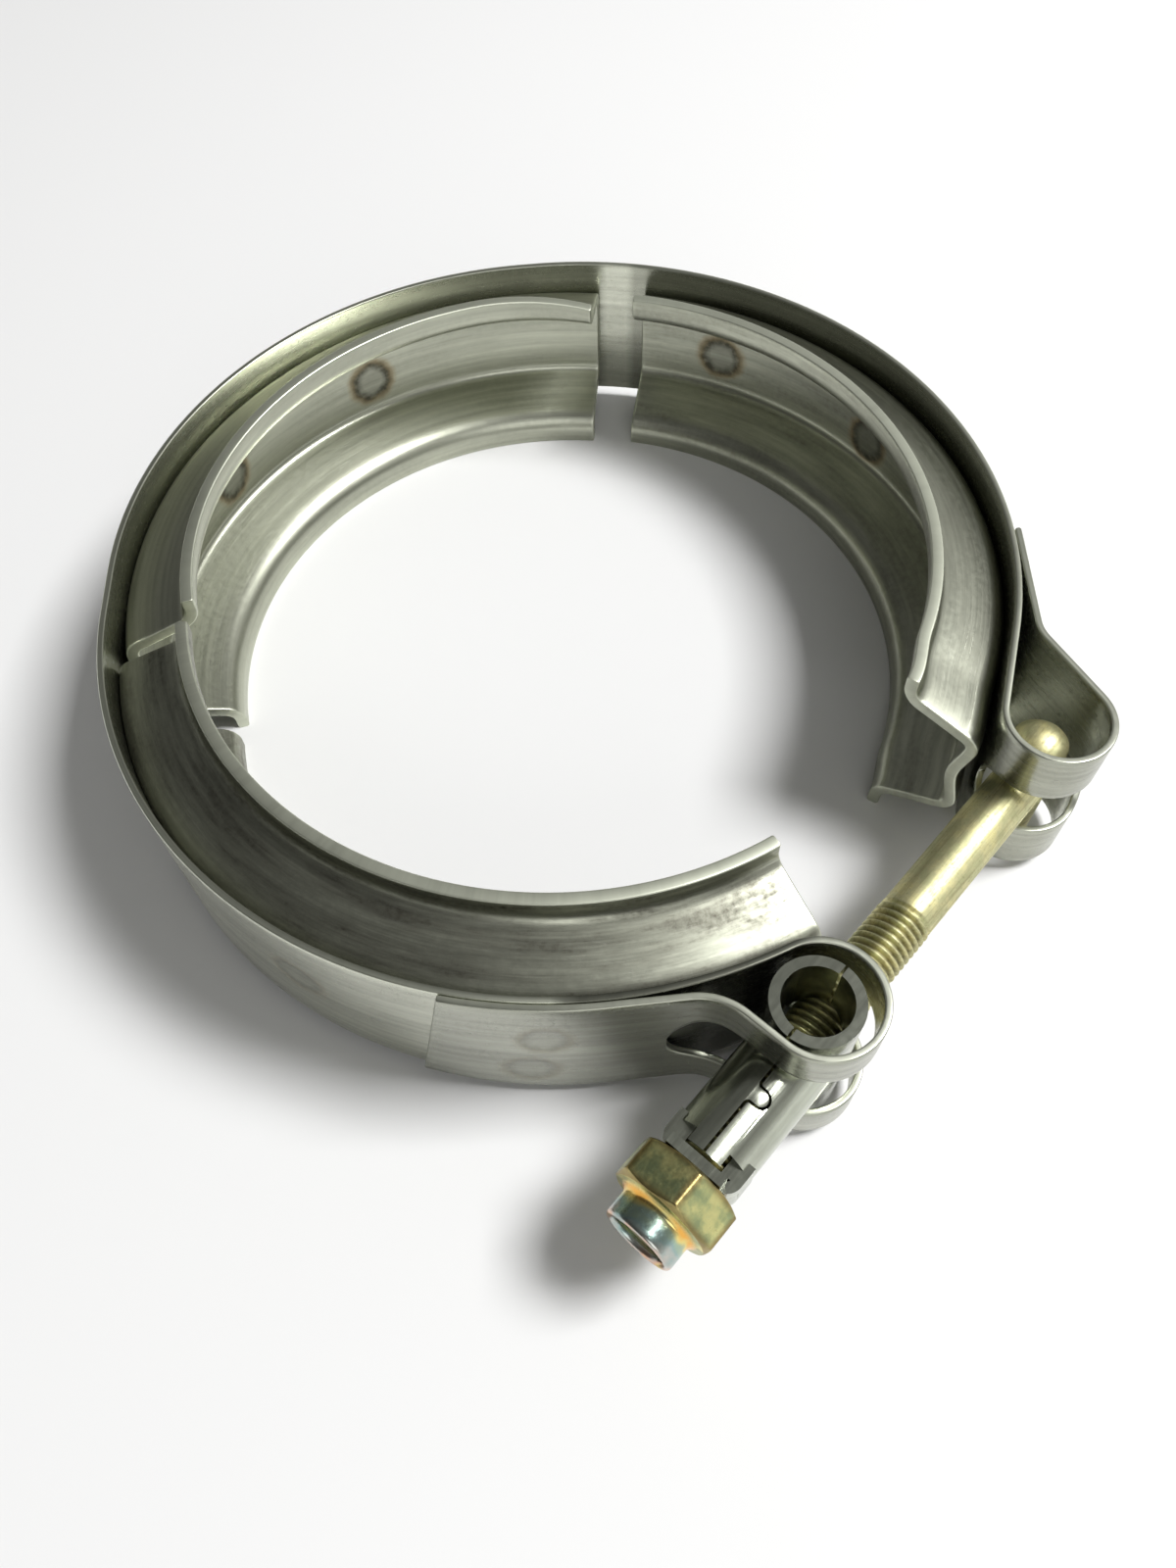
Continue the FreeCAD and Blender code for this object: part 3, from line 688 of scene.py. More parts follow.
def lathe(profile, sides, axis_turn):
    """Vertices and faces of a turned form: (height, radius) pairs swept round the first axis
    of axis_turn, whose columns are the axis and two directions square to it."""
    swing = np.linspace(0, 2 * math.pi, sides, endpoint=False)
    height, radius = profile[:, :1], profile[:, 1:]
    rings = np.stack([np.broadcast_to(height, (len(profile), sides)),
                      radius * np.cos(swing), radius * np.sin(swing)], axis=-1)
    rings = rings @ np.asarray(axis_turn).T
    return rings.reshape(-1, 3), wrapped_faces(len(profile), sides)


def capped(vertices, faces, sides):
    """The same form with one face across each end, where its radius is not zero."""
    last = len(vertices)
    return vertices, [list(f) for f in faces] + [
        list(range(sides)), list(range(last - 1, last - 1 - sides, -1))
    ]


def thread_radius(distance, swing, bolt, total):
    """Radius of the shank at a distance from the head and an angle about the axis: the plain
    shank, then crests and roots of a 60 degree thread. The phase of the helix is
    distance / pitch + angle / turn, and the depth follows a triangle wave whose crest and root
    are cut flat and whose corners are softened by mixing it with a cosine. It fades in over
    the run-out and ends in the tip's chamfer."""
    phase = (distance / bolt.thread_pitch + swing / (2 * math.pi)) % 1
    wave = (np.abs(2 * phase - 1) - THREAD_FLAT) / (1 - 2 * THREAD_FLAT)
    wave = np.clip(wave, 0, 1)
    wave = 0.6 * (0.5 - 0.5 * np.cos(math.pi * wave)) + 0.4 * wave
    start = smooth(distance, bolt.shank_length, bolt.shank_length + bolt.run_out)
    outside = bolt.shank_radius + (bolt.thread_radius - bolt.shank_radius) * start
    cut = THREAD_DEPTH * bolt.thread_pitch * start * wave
    chamfer = bolt.thread_radius - bolt.tip_chamfer + (total - distance)
    return np.minimum(outside - cut, chamfer)


def add_t_bolt():
    """The T-bolt: a round-ended head turned about Z, joined to a shank turned about X whose
    radius follows the thread."""
    bolt = settings("bolt")
    low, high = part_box("t_bolt")
    centre = np.array([high.x - bolt.head_radius, SEAT[1], 0.0])
    half = high.z
    ball = (bolt.head_radius ** 2 + bolt.head_dome ** 2) / (2 * bolt.head_dome)
    lean = np.linspace(0, math.asin(bolt.head_radius / ball), 14)
    cap = np.stack([half - ball + ball * np.cos(lean), ball * np.sin(lean)], axis=-1)
    cap[0, 1] = 0.002 * MM  # a hair off the axis, so that a face can close the end
    side = np.linspace(half - bolt.head_dome, bolt.head_dome - half, 30)[1:-1]
    barrel = np.stack([side, np.full_like(side, bolt.head_radius)], axis=-1)
    profile = np.concatenate([cap, barrel, cap[::-1] * [-1, 1]])
    upright = [[0, 1, 0], [0, 0, 1], [1, 0, 0]]
    vertices, faces = lathe(profile, BOLT_SIDES, upright)
    head = plain_object("head", *capped(vertices + centre, faces, BOLT_SIDES))

    total = centre[0] - low.x
    turns = (total - bolt.shank_length) / bolt.thread_pitch
    rows = np.concatenate([
        np.linspace(0, bolt.shank_length, 24)[:-1],
        np.linspace(bolt.shank_length, total, int(turns * ROWS_PER_TURN)),
    ])
    swing = np.linspace(0, 2 * math.pi, BOLT_SIDES, endpoint=False)
    far, around = np.meshgrid(rows, swing, indexing="ij")
    radius = thread_radius(far, around, bolt, total)
    points = np.stack([-far, radius * np.cos(around), radius * np.sin(around)], axis=-1)
    vertices, faces = points.reshape(-1, 3) + centre, wrapped_faces(*far.shape)
    shank = plain_object("shank", *capped(vertices, faces, BOLT_SIDES))
    piece = joined("threaded_t_bolt", head, shank)

    x, y, z = (vertex_places(piece.data) - centre).T
    outermost = bolt.thread_radius - 0.1 * MM
    crest = smooth(np.hypot(y, z), outermost - 0.4 * MM, outermost)
    threaded = (-x > bolt.shank_length + bolt.run_out) * 1.0
    add_mask(piece.data, "crest", crest * threaded)
    add_mask(piece.data, "threaded", threaded)
    finish_piece(piece, "t_bolt", "t_bolt", bolt_plating())


def plain_object(name, vertices, faces):
    """A closed piece that is only a step towards another."""
    mesh = bpy.data.meshes.new(name)
    mesh.from_pydata(np.asarray(vertices).tolist(), [], [list(map(int, f)) for f in faces])
    face_outwards(mesh)
    return add_object(name, mesh)


def joined(name, first, second):
    """One closed piece from two that overlap; the two are removed."""
    union = first.modifiers.new("union", "BOOLEAN")
    union.operation = "UNION"
    union.solver = "EXACT"
    union.object = second
    graph = bpy.context.evaluated_depsgraph_get()
    mesh = bpy.data.meshes.new_from_object(first.evaluated_get(graph))
    for thing in (first, second):
        bpy.data.objects.remove(thing)
    shade_smooth(mesh)
    mesh.set_sharp_from_angle(angle=math.radians(42))
    return add_object(name, mesh)


# --- nut -----------------------------------------------------------------------------------

def softly_least(first, second, blend):
    """The smaller of two values, rounded where they cross over a width of blend."""
    mix = np.clip(0.5 + 0.5 * (second - first) / blend, 0, 1)
    return second * (1 - mix) + first * mix - blend * mix * (1 - mix)


def nut_rows(from_flat):
    """The nut's rings in order, as (distance from its seat, radius): the seat face, the
    hexagon, the neck, the collar, its mouth and the bore. The radius is one number, or one
    for each angle from the middle of a flat."""
    bolt = settings("bolt")
    flat, collar, edge = bolt.nut_flats / 2, bolt.collar_radius, bolt.collar_edge
    far, end, bore = bolt.nut_hex_length, bolt.nut_length, bolt.thread_radius + 0.05 * MM
    corner = flat / math.cos(math.pi / 6)
    hexagon = softly_least(flat / np.cos(from_flat), 0.985 * corner, 0.45 * MM)
    down = spread(0, far, 0.75 * MM, 10, 12)
    cone = flat - 0.12 * MM + np.minimum(down, far - down) * math.tan(math.radians(60))
    neck = np.linspace(0, 1, 9)
    neck_radius = collar + (flat - 0.75 * MM - collar) * (1 - np.sin(neck * math.pi / 2))
    lean = np.linspace(0, math.pi / 2, 7)[1:]
    rows = [(0.0, bore), (0.0, bore + 0.6 * (flat - bore))]
    rows += zip(down, softly_least(hexagon[None, :], cone[:, None], 0.16 * MM))
    rows += zip(far + neck * bolt.neck_length, neck_radius)
    rows += [(x, collar) for x in np.linspace(far + bolt.neck_length, end - edge, 8)[1:]]
    rows += zip(end - edge + edge * np.sin(lean), collar - 0.8 * edge * (1 - np.cos(lean)))
    rows += [(end - 0.02 * MM, collar - bolt.collar_wall), (end - 0.35 * MM, bore)]
    rows += [(x, bore) for x in np.linspace(end - 0.7 * MM, 0, 6)]
    return rows


def add_nut():
    """The nut: rings of points about the bolt's axis. The hexagon's radius at an angle a from
    the middle of a flat is (flats / 2) / cos a, cut at both ends by a 30 degree cone; behind it
    the neck tapers to the collar, and the bore closes the form."""
    bolt = settings("bolt")
    far, sides = bolt.nut_hex_length, 240
    swing = np.linspace(0, 2 * math.pi, sides, endpoint=False)
    from_flat = (swing + math.pi / 6) % (math.pi / 3) - math.pi / 6
    rows = nut_rows(from_flat)
    distance = np.maximum([x for x, _ in rows], bolt.seat_gap)
    radius = np.stack([np.broadcast_to(r, sides) for _, r in rows])
    # the first corner stands at nut_turn from +Z towards -Y
    turn = bolt.nut_turn + math.pi / 6
    down, around = np.meshgrid(distance, swing, indexing="ij")
    points = np.stack([-down, -np.sin(around + turn) * radius, np.cos(around + turn) * radius],
                      axis=-1)
    surface = np.stack([down, around * bolt.nut_flats / 2], axis=-1).reshape(-1, 2) / MM
    collar = smooth(distance, far - 0.1 * MM, far + 0.4 * MM)
    # burnt brown where the hexagon's corners and chamfers are, and none behind the hexagon
    near_corner = smooth(np.abs(from_flat), math.radians(22), math.radians(29))
    near_end = 1 - smooth(np.minimum(distance, far - distance), 0.1 * MM, 1.0 * MM)
    burnt = np.maximum(near_corner[None, :], near_end[:, None]) * (distance < far)[:, None]
    piece = add_mesh("locking_nut", points.reshape(-1, 3) + np.array(SEAT),
                     wrapped_faces(*radius.shape), surface, merge=0.0001 * MM,
                     collar=np.repeat(collar, sides), burnt=burnt.ravel())
    finish_piece(piece, "nut", "nut", nut_plating())


# --- trunnion ------------------------------------------------------------------------------

def close_seam(mesh):
    """Draws the two walls of the split towards its middle line, so that the seam is as fine
    as two sheared edges that spring together."""
    trunnion = settings("trunnion")
    half = trunnion.split_width / 2
    centre = np.array(SWIVEL[:2])
    near = -trunnion.tab_distance + trunnion.tab_radius
    far = -trunnion.tab_distance - trunnion.tab_radius
    depth = -2 * trunnion.tab_radius
    corners = [np.array(p) for p in (
        (2 * trunnion.outside, 0.0), (near, 0.0), (near, depth), (far, depth), (far, 0.0),
        (-trunnion.seat_distance, 0.0),
    )]
    radii = [trunnion.split_width, trunnion.tab_radius, trunnion.tab_radius, trunnion.split_width]
    turns = zip(corners, corners[1:], corners[2:], radii)
    arcs = [(corners[0], 0.0, math.pi / 2, math.pi / 2)]
    arcs += [bend(*three, radius) for *three, radius in turns]
    arcs += [(corners[-1], 0.0, math.pi / 2, math.pi / 2)]
    line = carried(arcs, 0.02 * MM)[0] + centre
    place = vertex_places(mesh)
    apart = np.linalg.norm(place[:, None, :2] - line[None], axis=2)
    nearest = apart.argmin(axis=1)
    on_wall = np.abs(apart.min(axis=1) - half) < 0.02 * MM
    pull = (place[:, :2] - line[nearest]) * (1 - trunnion.seam / half / 2)
    place[on_wall, :2] -= pull[on_wall]
    mesh.vertices.foreach_set("co", place.ravel())


def add_trunnion():
    """The trunnion: its solid's faces merged into whole ones, with every sharp edge rounded."""
    source = frame["nodes"]["trunnion"].data
    work = bmesh.new()
    work.from_mesh(source)
    bmesh.ops.remove_doubles(work, verts=work.verts, dist=0.001 * MM)
    bmesh.ops.dissolve_limit(work, angle_limit=math.radians(0.6), verts=work.verts,
                             edges=work.edges)
    mesh = bpy.data.meshes.new("folded_trunnion")
    work.to_mesh(mesh)
    work.free()
    close_seam(mesh)
    mesh.materials.clear()
    shade_smooth(mesh)
    piece = add_object("folded_trunnion", mesh)
    rounding = piece.modifiers.new("rounded_edges", "BEVEL")
    rounding.width = settings("trunnion").edge_round
    rounding.segments = 3
    rounding.limit_method = "ANGLE"
    rounding.angle_limit = math.radians(38)
    rounding.use_clamp_overlap = True
    piece.modifiers.new("even_shading", "WEIGHTED_NORMAL").keep_sharp = True
    finish_piece(piece, "trunnion", "trunnion", trunnion_steel())


# --- shader groups -------------------------------------------------------------------------

POLISHED = (0.74, 0.77, 0.64, 1)  # steel where an edge is rubbed
SCRATCHED = (0.78, 0.78, 0.72, 1)
OLIVE = (0.36, 0.42, 0.22, 1)  # the plating's two wandering tints
PALE_STRAW = (0.74, 0.70, 0.32, 1)
SPECKLE = (0.20, 0.18, 0.09, 1)
BURNT_BROWN = (0.24, 0.15, 0.05, 1)  # the hexagon's corners
DULLED = (0.26, 0.23, 0.12, 1)  # streaks along the bolt
# painted shade in the roots of the thread
THREAD_ROOT_SHADE = (0.14, 0.12, 0.06, 1)

# interference colours of the collar, by thickness of the film
FILM = ((0.12, (0.86, 0.46, 0.10)), (0.28, (0.80, 0.66, 0.24)), (0.42, (0.40, 0.50, 0.36)),
        (0.58, (0.32, 0.44, 0.42)), (0.72, (0.50, 0.50, 0.46)), (0.84, (0.70, 0.46, 0.34)),
        (0.95, (0.78, 0.62, 0.22)))


def new_group(name, inputs, outputs):
    """An empty shader node group with named sockets."""
    tree = bpy.data.node_groups.new(name, "ShaderNodeTree")
    for title, kind, default in inputs:
        socket = tree.interface.new_socket(title, in_out="INPUT", socket_type="NodeSocket" + kind)
        if default is not None:
            socket.default_value = default
    for title, kind in outputs:
        tree.interface.new_socket(title, in_out="OUTPUT", socket_type="NodeSocket" + kind)
    tree.nodes.new("NodeGroupInput")
    tree.nodes.new("NodeGroupOutput")
    return tree


class Wiring:
    """Short ways to add and link the nodes of one tree."""

    def __init__(self, tree):
        self.tree = tree
        found = {node.bl_idname: node for node in tree.nodes}
        self.given = found["NodeGroupInput"].outputs if "NodeGroupInput" in found else None
        self.result = found["NodeGroupOutput"].inputs if "NodeGroupOutput" in found else None

    def plug(self, socket, value):
        """Links a socket into another, or sets its constant value."""
        if isinstance(value, bpy.types.NodeSocket):
            self.tree.links.new(value, socket)
        elif value is not None:
            socket.default_value = value

    def node(self, kind, values=(), **options):
        """A node of a kind, with its inputs' values by name."""
        made = self.tree.nodes.new("ShaderNode" + kind)
        for option, value in options.items():
            setattr(made, option, value)
        for name, value in dict(values).items():
            self.plug(made.inputs[name], value)
        return made

    def math(self, operation, first, second=None):
        """One step of arithmetic."""
        made = self.node("Math", operation=operation)
        self.plug(made.inputs[0], first)
        self.plug(made.inputs[1], second)
        return made.outputs[0]

    def plus(self, first, second):
        """A sum."""
        return self.math("ADD", first, second)

    def minus(self, first, second):
        """A difference."""
        return self.math("SUBTRACT", first, second)

    def times(self, first, second):
        """A product."""
        return self.math("MULTIPLY", first, second)

    def vectors(self, operation, first, second):
        """The outputs of one step on two vectors."""
        made = self.node("VectorMath", operation=operation)
        self.plug(made.inputs[0], first)
        self.plug(made.inputs[1], second)
        return made.outputs

    def mix(self, share, first, second, blend="MIX"):
        """Two colours mixed by a share."""
        made = self.node("Mix", data_type="RGBA", blend_type=blend)
        self.plug(made.inputs["Factor"], share)
        self.plug(made.inputs[6], first)
        self.plug(made.inputs[7], second)
        return made.outputs[2]

    def shaded(self, colour_now, level):
        """A colour darkened or lightened by a level."""
        grey = self.node("CombineColor", {"Red": level, "Green": level, "Blue": level})
        return self.mix(1.0, colour_now, grey.outputs[0], "MULTIPLY")

    def ramp(self, share, stops):
        """The colour at a share of a row of (share, colour) stops."""
        made = self.node("ValToRGB", {"Fac": share})
        elements = made.color_ramp.elements
        while len(elements) < len(stops):
            elements.new(0.5)
        for element, (stop, shade) in zip(elements, stops):
            element.position = stop
            element.color = (*shade, 1)
        return made.outputs["Color"]

    def range(self, value, low, high, to_low=0.0, to_high=1.0):
        """A value carried from one range to another, and kept inside it."""
        made = self.node("MapRange", {"Value": value, "From Min": low, "From Max": high,
                                      "To Min": to_low, "To Max": to_high})
        return made.outputs[0]

    def stretched(self, vector, scale, turn=0.0):
        """A vector scaled, and turned about its third axis."""
        made = self.node("Mapping", {"Vector": vector})
        made.inputs["Scale"].default_value = scale
        made.inputs["Rotation"].default_value = (0, 0, turn)
        return made.outputs[0]

    def noise(self, vector, scale, detail=3.0, roughness=0.5):
        """Noise about 0.5."""
        made = self.node("TexNoise", {"Vector": vector, "Scale": scale, "Detail": detail,
                                      "Roughness": roughness})
        return made.outputs["Fac"]

    def mask(self, title):
        """A mask of the piece, which is 0 where the piece has none."""
        return self.node("Attribute", attribute_name=title).outputs["Fac"]


def metal_group():
    """Worked steel. Surface is (along the grain, across it) in millimetres. Streaks are noise
    stretched along the grain, stains are broad noise, scratches are the thin contour lines of
    stretched noise."""
    if "worked_steel" in bpy.data.node_groups:
        return bpy.data.node_groups["worked_steel"]
    tree = new_group("worked_steel", [
        ("Surface", "Vector", None), ("Steel", "Color", (0.5, 0.5, 0.5, 1)),
        ("Stain", "Color", (0.2, 0.2, 0.2, 1)), ("Grain", "Float", 1.0),
        ("Stains", "Float", 0.5), ("Scratches", "Float", 0.5), ("Smoothest", "Float", 0.2),
        ("Roughest", "Float", 0.4), ("Worn", "Float", 0.0),
    ], [("Color", "Color"), ("Roughness", "Float"), ("Height", "Float")])
    w = Wiring(tree)
    place = w.given["Surface"]
    fine = w.noise(w.stretched(place, (0.05, 7.0, 1.0)), 1.0, 4.0, 0.62)
    broad_streak = w.noise(w.stretched(place, (0.018, 1.1, 1.0)), 1.0, 3.0)
    patches = w.noise(w.stretched(place, (0.035, 0.24, 0.1)), 1.0, 6.0, 0.68)
    stains = w.range(patches, 0.38, 0.60)
    mottle = w.noise(place, 1.1, 4.0, 0.65)
    lines = []
    ways = ((0.04, 0.9, 1.0), 0.30), ((0.03, 0.7, 1.0), -0.4), ((0.05, 1.1, 1.0), 1.2)
    for scale, turn in ways:
        wave = w.noise(w.stretched(place, scale, turn), 1.0, 1.0)
        thin = w.range(w.math("ABSOLUTE", w.minus(wave, 0.5)), 0.0, 0.006, 1.0, 0.0)
        where = w.range(w.noise(w.stretched(place, (0.08, 0.2, 1.0), turn), 1.0, 1.0), 0.50, 0.62)
        lines.append(w.times(thin, where))
    scratches = w.math("MAXIMUM", w.math("MAXIMUM", lines[0], lines[1]), lines[2])
    scratches = w.times(scratches, w.given["Scratches"])
    stained = w.times(stains, w.given["Stains"])
    stained = w.times(stained, w.range(mottle, 0.3, 0.7, 0.55, 1.0))
    body = w.mix(stained, w.given["Steel"], w.given["Stain"])
    shade = w.range(broad_streak, 0.3, 0.7, 0.82, 1.10)
    bright = w.mix(w.times(w.given["Worn"], 0.55), w.shaded(body, shade), POLISHED)
    w.plug(w.result["Color"], w.mix(w.times(scratches, 0.30), bright, SCRATCHED))
    depth = w.times(w.range(fine, 0.25, 0.75), 0.5)
    depth = w.plus(depth, w.times(w.range(mottle, 0.3, 0.7), 0.3))
    depth = w.plus(depth, w.times(stained, 0.45))
    depth = w.plus(depth, w.times(w.given["Worn"], 0.5))
    rough = w.range(depth, 0.0, 1.0, w.given["Smoothest"], w.given["Roughest"])
    w.plug(w.result["Roughness"], rough)
    relief = w.times(w.given["Grain"], w.plus(fine, w.times(broad_streak, 1.4)))
    relief = w.plus(relief, w.times(mottle, 0.3))
    w.plug(w.result["Height"], w.minus(relief, w.times(scratches, 1.2)))
    return tree


def weld_group():
    """Heat marks of one spot weld. Place is its centre in the same millimetres as Surface.
    Burn is a ring at the electrode's edge, Core the pressed disc inside it, and Tint the halo
    that fades outside it."""
    if "weld_mark" in bpy.data.node_groups:
        return bpy.data.node_groups["weld_mark"]
    tree = new_group("weld_mark", [("Surface", "Vector", None), ("Place", "Vector", None),
                                   ("Radius", "Float", 2.6)],
                     [("Burn", "Float"), ("Core", "Float"), ("Tint", "Float")])
    w = Wiring(tree)
    wobble = w.noise(w.given["Surface"], 0.55, 3.0)
    far = w.vectors("DISTANCE", w.given["Surface"], w.given["Place"])["Value"]
    ragged = w.plus(far, w.times(w.minus(wobble, 0.5), 0.9))
    share = w.math("DIVIDE", ragged, w.given["Radius"])
    off_ring = w.math("ABSOLUTE", w.minus(share, 0.84))
    blotch = w.range(w.noise(w.given["Surface"], 0.9, 3.0), 0.3, 0.6, 0.45, 1.0)
    w.plug(w.result["Burn"], w.times(w.range(off_ring, 0.06, 0.34, 1.0, 0.0), blotch))
    core = w.range(share, 0.7, 1.0, 1.0, 0.0)
    w.plug(w.result["Core"], core)
    halo = w.range(share, 0.95, 1.35, 1.0, 0.0)
    w.plug(w.result["Tint"], w.times(halo, w.minus(1.0, core)))
    return tree


def on_surface(w):
    """The piece's own surface coordinates, in millimetres."""
    return w.stretched(w.node("UVMap", uv_map="surface").outputs[0], (UV_UNIT,) * 3)


def in_piece(w):
    """The place in the piece's own frame, in millimetres."""
    return w.stretched(w.node("TexCoord").outputs["Object"], (1 / MM,) * 3)


def new_material(name):
    """A metal, with its wiring and its shader."""
    material = bpy.data.materials.new(name)
    material.use_nodes = True
    w = Wiring(material.node_tree)
    shader = material.node_tree.nodes["Principled BSDF"]
    shader.inputs["Metallic"].default_value = 1.0
    return material, w, shader


def group_node(w, tree, values):
    """The outputs of a shader group, with its inputs' values by name."""
    made = w.node("Group")
    made.node_tree = tree
    for name, value in values.items():
        w.plug(made.inputs[name], value)
    return made.outputs


def finish_shader(w, shader, base, rough, height, distance):
    """Plugs a colour, a roughness and a relief as high as distance into a shader."""
    w.plug(shader.inputs["Base Color"], base)
    w.plug(shader.inputs["Roughness"], rough)
    bump = w.node("Bump", {"Height": height, "Distance": distance, "Strength": 1.0})
    w.plug(shader.inputs["Normal"], bump.outputs[0])


def steel(name, base, welds, grain, stains, scratches, smoothest, roughest, seed, marked):
    """Stainless sheet with its grain, wear and spot welds, which stand out as far as marked.
    Painted shade darkens parts of the strap, in the burn colour; the retainers have none."""
    finish = settings("finish")
    stain, straw, burn_and_painted_shade = (*finish.stain, 1), (*finish.straw, 1), (*finish.burn_and_painted_shade, 1)
    material, w, shader = new_material(name)
    surface = on_surface(w)
    out = group_node(w, metal_group(), {
        "Surface": w.vectors("ADD", surface, (37.0 * seed, 11.0 * seed, 0.0))[0],
        "Steel": (*base, 1), "Stain": stain, "Grain": grain, "Stains": stains,
        "Scratches": scratches, "Smoothest": smoothest, "Roughest": roughest,
        "Worn": w.mask("worn"),
    })
    base_now, rough_now = out["Color"], out["Roughness"]
    for across, up in welds:
        mark = group_node(w, weld_group(), {"Surface": surface, "Place": (across, up, 0.0),
                                            "Radius": settings("ring").weld_radius / MM})
        base_now = w.mix(w.times(mark["Tint"], marked), base_now, straw)
        base_now = w.mix(w.times(mark["Core"], 0.45 * marked), base_now, stain)
        base_now = w.mix(w.times(mark["Burn"], marked), base_now, burn_and_painted_shade)
        rough_now = w.plus(rough_now, w.times(mark["Tint"], 0.2 * marked))
    # painted shade: the strap's shaded stretches take the burn colour
    base_now = w.mix(w.times(w.mask("grease"), 0.85), base_now, burn_and_painted_shade)
    finish_shader(w, shader, base_now, rough_now, out["Height"], 0.006 * MM)
    return material


def trunnion_steel():
    """Pressed steel with the grain of its strip along the bolt."""
    finish = settings("finish")
    material, w, shader = new_material("trunnion_steel")
    out = group_node(w, metal_group(), {
        "Surface": in_piece(w), "Steel": (*finish.trunnion_steel, 1),
        "Stain": (*finish.stain, 1), "Grain": 0.25, "Stains": 0.5, "Scratches": 0.0,
        "Smoothest": 0.12, "Roughest": 0.28,
    })
    finish_shader(w, shader, out["Color"], out["Roughness"], out["Height"], 0.005 * MM)
    return material


def plating_group():
    """Yellow plating: gold that wanders to olive and straw in broad patches, with a fine
    speckle and darker, rougher stains."""
    if "yellow_plating" in bpy.data.node_groups:
        return bpy.data.node_groups["yellow_plating"]
    tree = new_group("yellow_plating", [
        ("Place", "Vector", None), ("Gold", "Color", (0.6, 0.5, 0.2, 1)),
        ("Patches", "Float", 1.0),
    ], [("Color", "Color"), ("Roughness", "Float"), ("Height", "Float")])
    w = Wiring(tree)
    broad = w.noise(w.given["Place"], 0.34, 3.0, 0.6)
    fine = w.noise(w.given["Place"], 2.6, 5.0, 0.65)
    share = w.times(w.range(broad, 0.38, 0.60), w.given["Patches"])
    tinted = w.mix(share, w.given["Gold"], OLIVE)
    share = w.times(w.range(broad, 0.50, 0.36), w.given["Patches"])
    tinted = w.mix(share, tinted, PALE_STRAW)
    dirt = w.range(fine, 0.55, 0.75)
    w.plug(w.result["Color"], w.mix(w.times(dirt, 0.45), tinted, SPECKLE))
    rough = w.range(w.plus(fine, w.times(dirt, 0.3)), 0.3, 0.9, 0.28, 0.52)
    w.plug(w.result["Roughness"], rough)
    w.plug(w.result["Height"], fine)
    return tree


def nut_plating():
    """Plating of the nut: gold on the hexagon, and interference colours on the collar that
    pass through straw, red, blue and green round it."""
    bolt = settings("bolt")
    material, w, shader = new_material("nut_plating")
    place = in_piece(w)
    out = group_node(w, plating_group(), {
        "Place": place, "Gold": (*settings("finish").nut_gold, 1), "Patches": 1.0,
    })
    down = w.node("SeparateXYZ", {"Vector": on_surface(w)}).outputs["X"]
    share = w.range(down, bolt.nut_hex_length / MM, bolt.nut_length / MM, 0.10, 0.78)
    wander = w.minus(w.noise(w.stretched(place, (0.5, 0.3, 0.3)), 1.0, 2.0), 0.5)
    film = w.ramp(w.plus(share, w.times(wander, 0.9)), FILM)
    hexagon = w.mix(w.times(w.mask("burnt"), 0.75), out["Color"], BURNT_BROWN)
    collar = w.mask("collar")
    smoothed = w.times(out["Roughness"], w.range(collar, 0.0, 1.0, 1.0, 0.55))
    plated = w.mix(collar, hexagon, film)
    finish_shader(w, shader, plated, smoothed, out["Height"], 0.012 * MM)
    return material


def bolt_plating():
    """Pale yellow plating of the bolt, dark and dull between the crests of the thread, where the
    dark is painted shade.
    """
    material, w, shader = new_material("bolt_plating")
    place = in_piece(w)
    out = group_node(w, plating_group(), {
        "Place": place, "Gold": (*settings("finish").bolt_gold, 1), "Patches": 0.45,
    })
    streaks = w.noise(w.stretched(place, (0.10, 1.9, 1.9)), 1.0, 4.0, 0.65)
    # painted shade: the thread is darkened off its crests
    root_shade = w.times(w.mask("threaded"), w.minus(1.0, w.mask("crest")))
    dull = w.times(w.range(streaks, 0.46, 0.66), 0.55)
    plated = w.mix(dull, out["Color"], DULLED)
    plated = w.mix(w.times(root_shade, 0.62), plated, THREAD_ROOT_SHADE)
    rough = w.plus(out["Roughness"], w.range(streaks, 0.3, 0.7, 0.08, 0.20))
    finish_shader(w, shader, plated, rough, w.plus(out["Height"], streaks), 0.010 * MM)
    return material


# --- stage ---------------------------------------------------------------------------------

KEY_AZIMUTH = math.radians(-46)  # of the key lamp, and of the studio's bright side

CAMERA_PLACE = Vector((-73.74, -74.71, 121.05)) * MM
CAMERA_BACK = Vector((-0.3833, -0.3663, 0.8479))  # from what it looks at, back to it
CAMERA_LEAN = math.radians(-2.19)

# brightness of the studio, by the sine of the elevation
STUDIO = ((0.0, 0.60), (0.22, 0.48), (0.50, 0.26), (1.0, 0.24))


def floor_material():
    """A pale, dull floor that keeps its shadows."""
    grey = settings("stage").floor_grey
    material = bpy.data.materials.new("pale_floor")
    material.use_nodes = True
    tree = material.node_tree
    tree.nodes.clear()
    w = Wiring(tree)
    diffuse = w.node("BsdfDiffuse", {"Color": (grey, grey, grey, 1)})
    w.node("OutputMaterial", {"Surface": diffuse.outputs[0]})
    return material


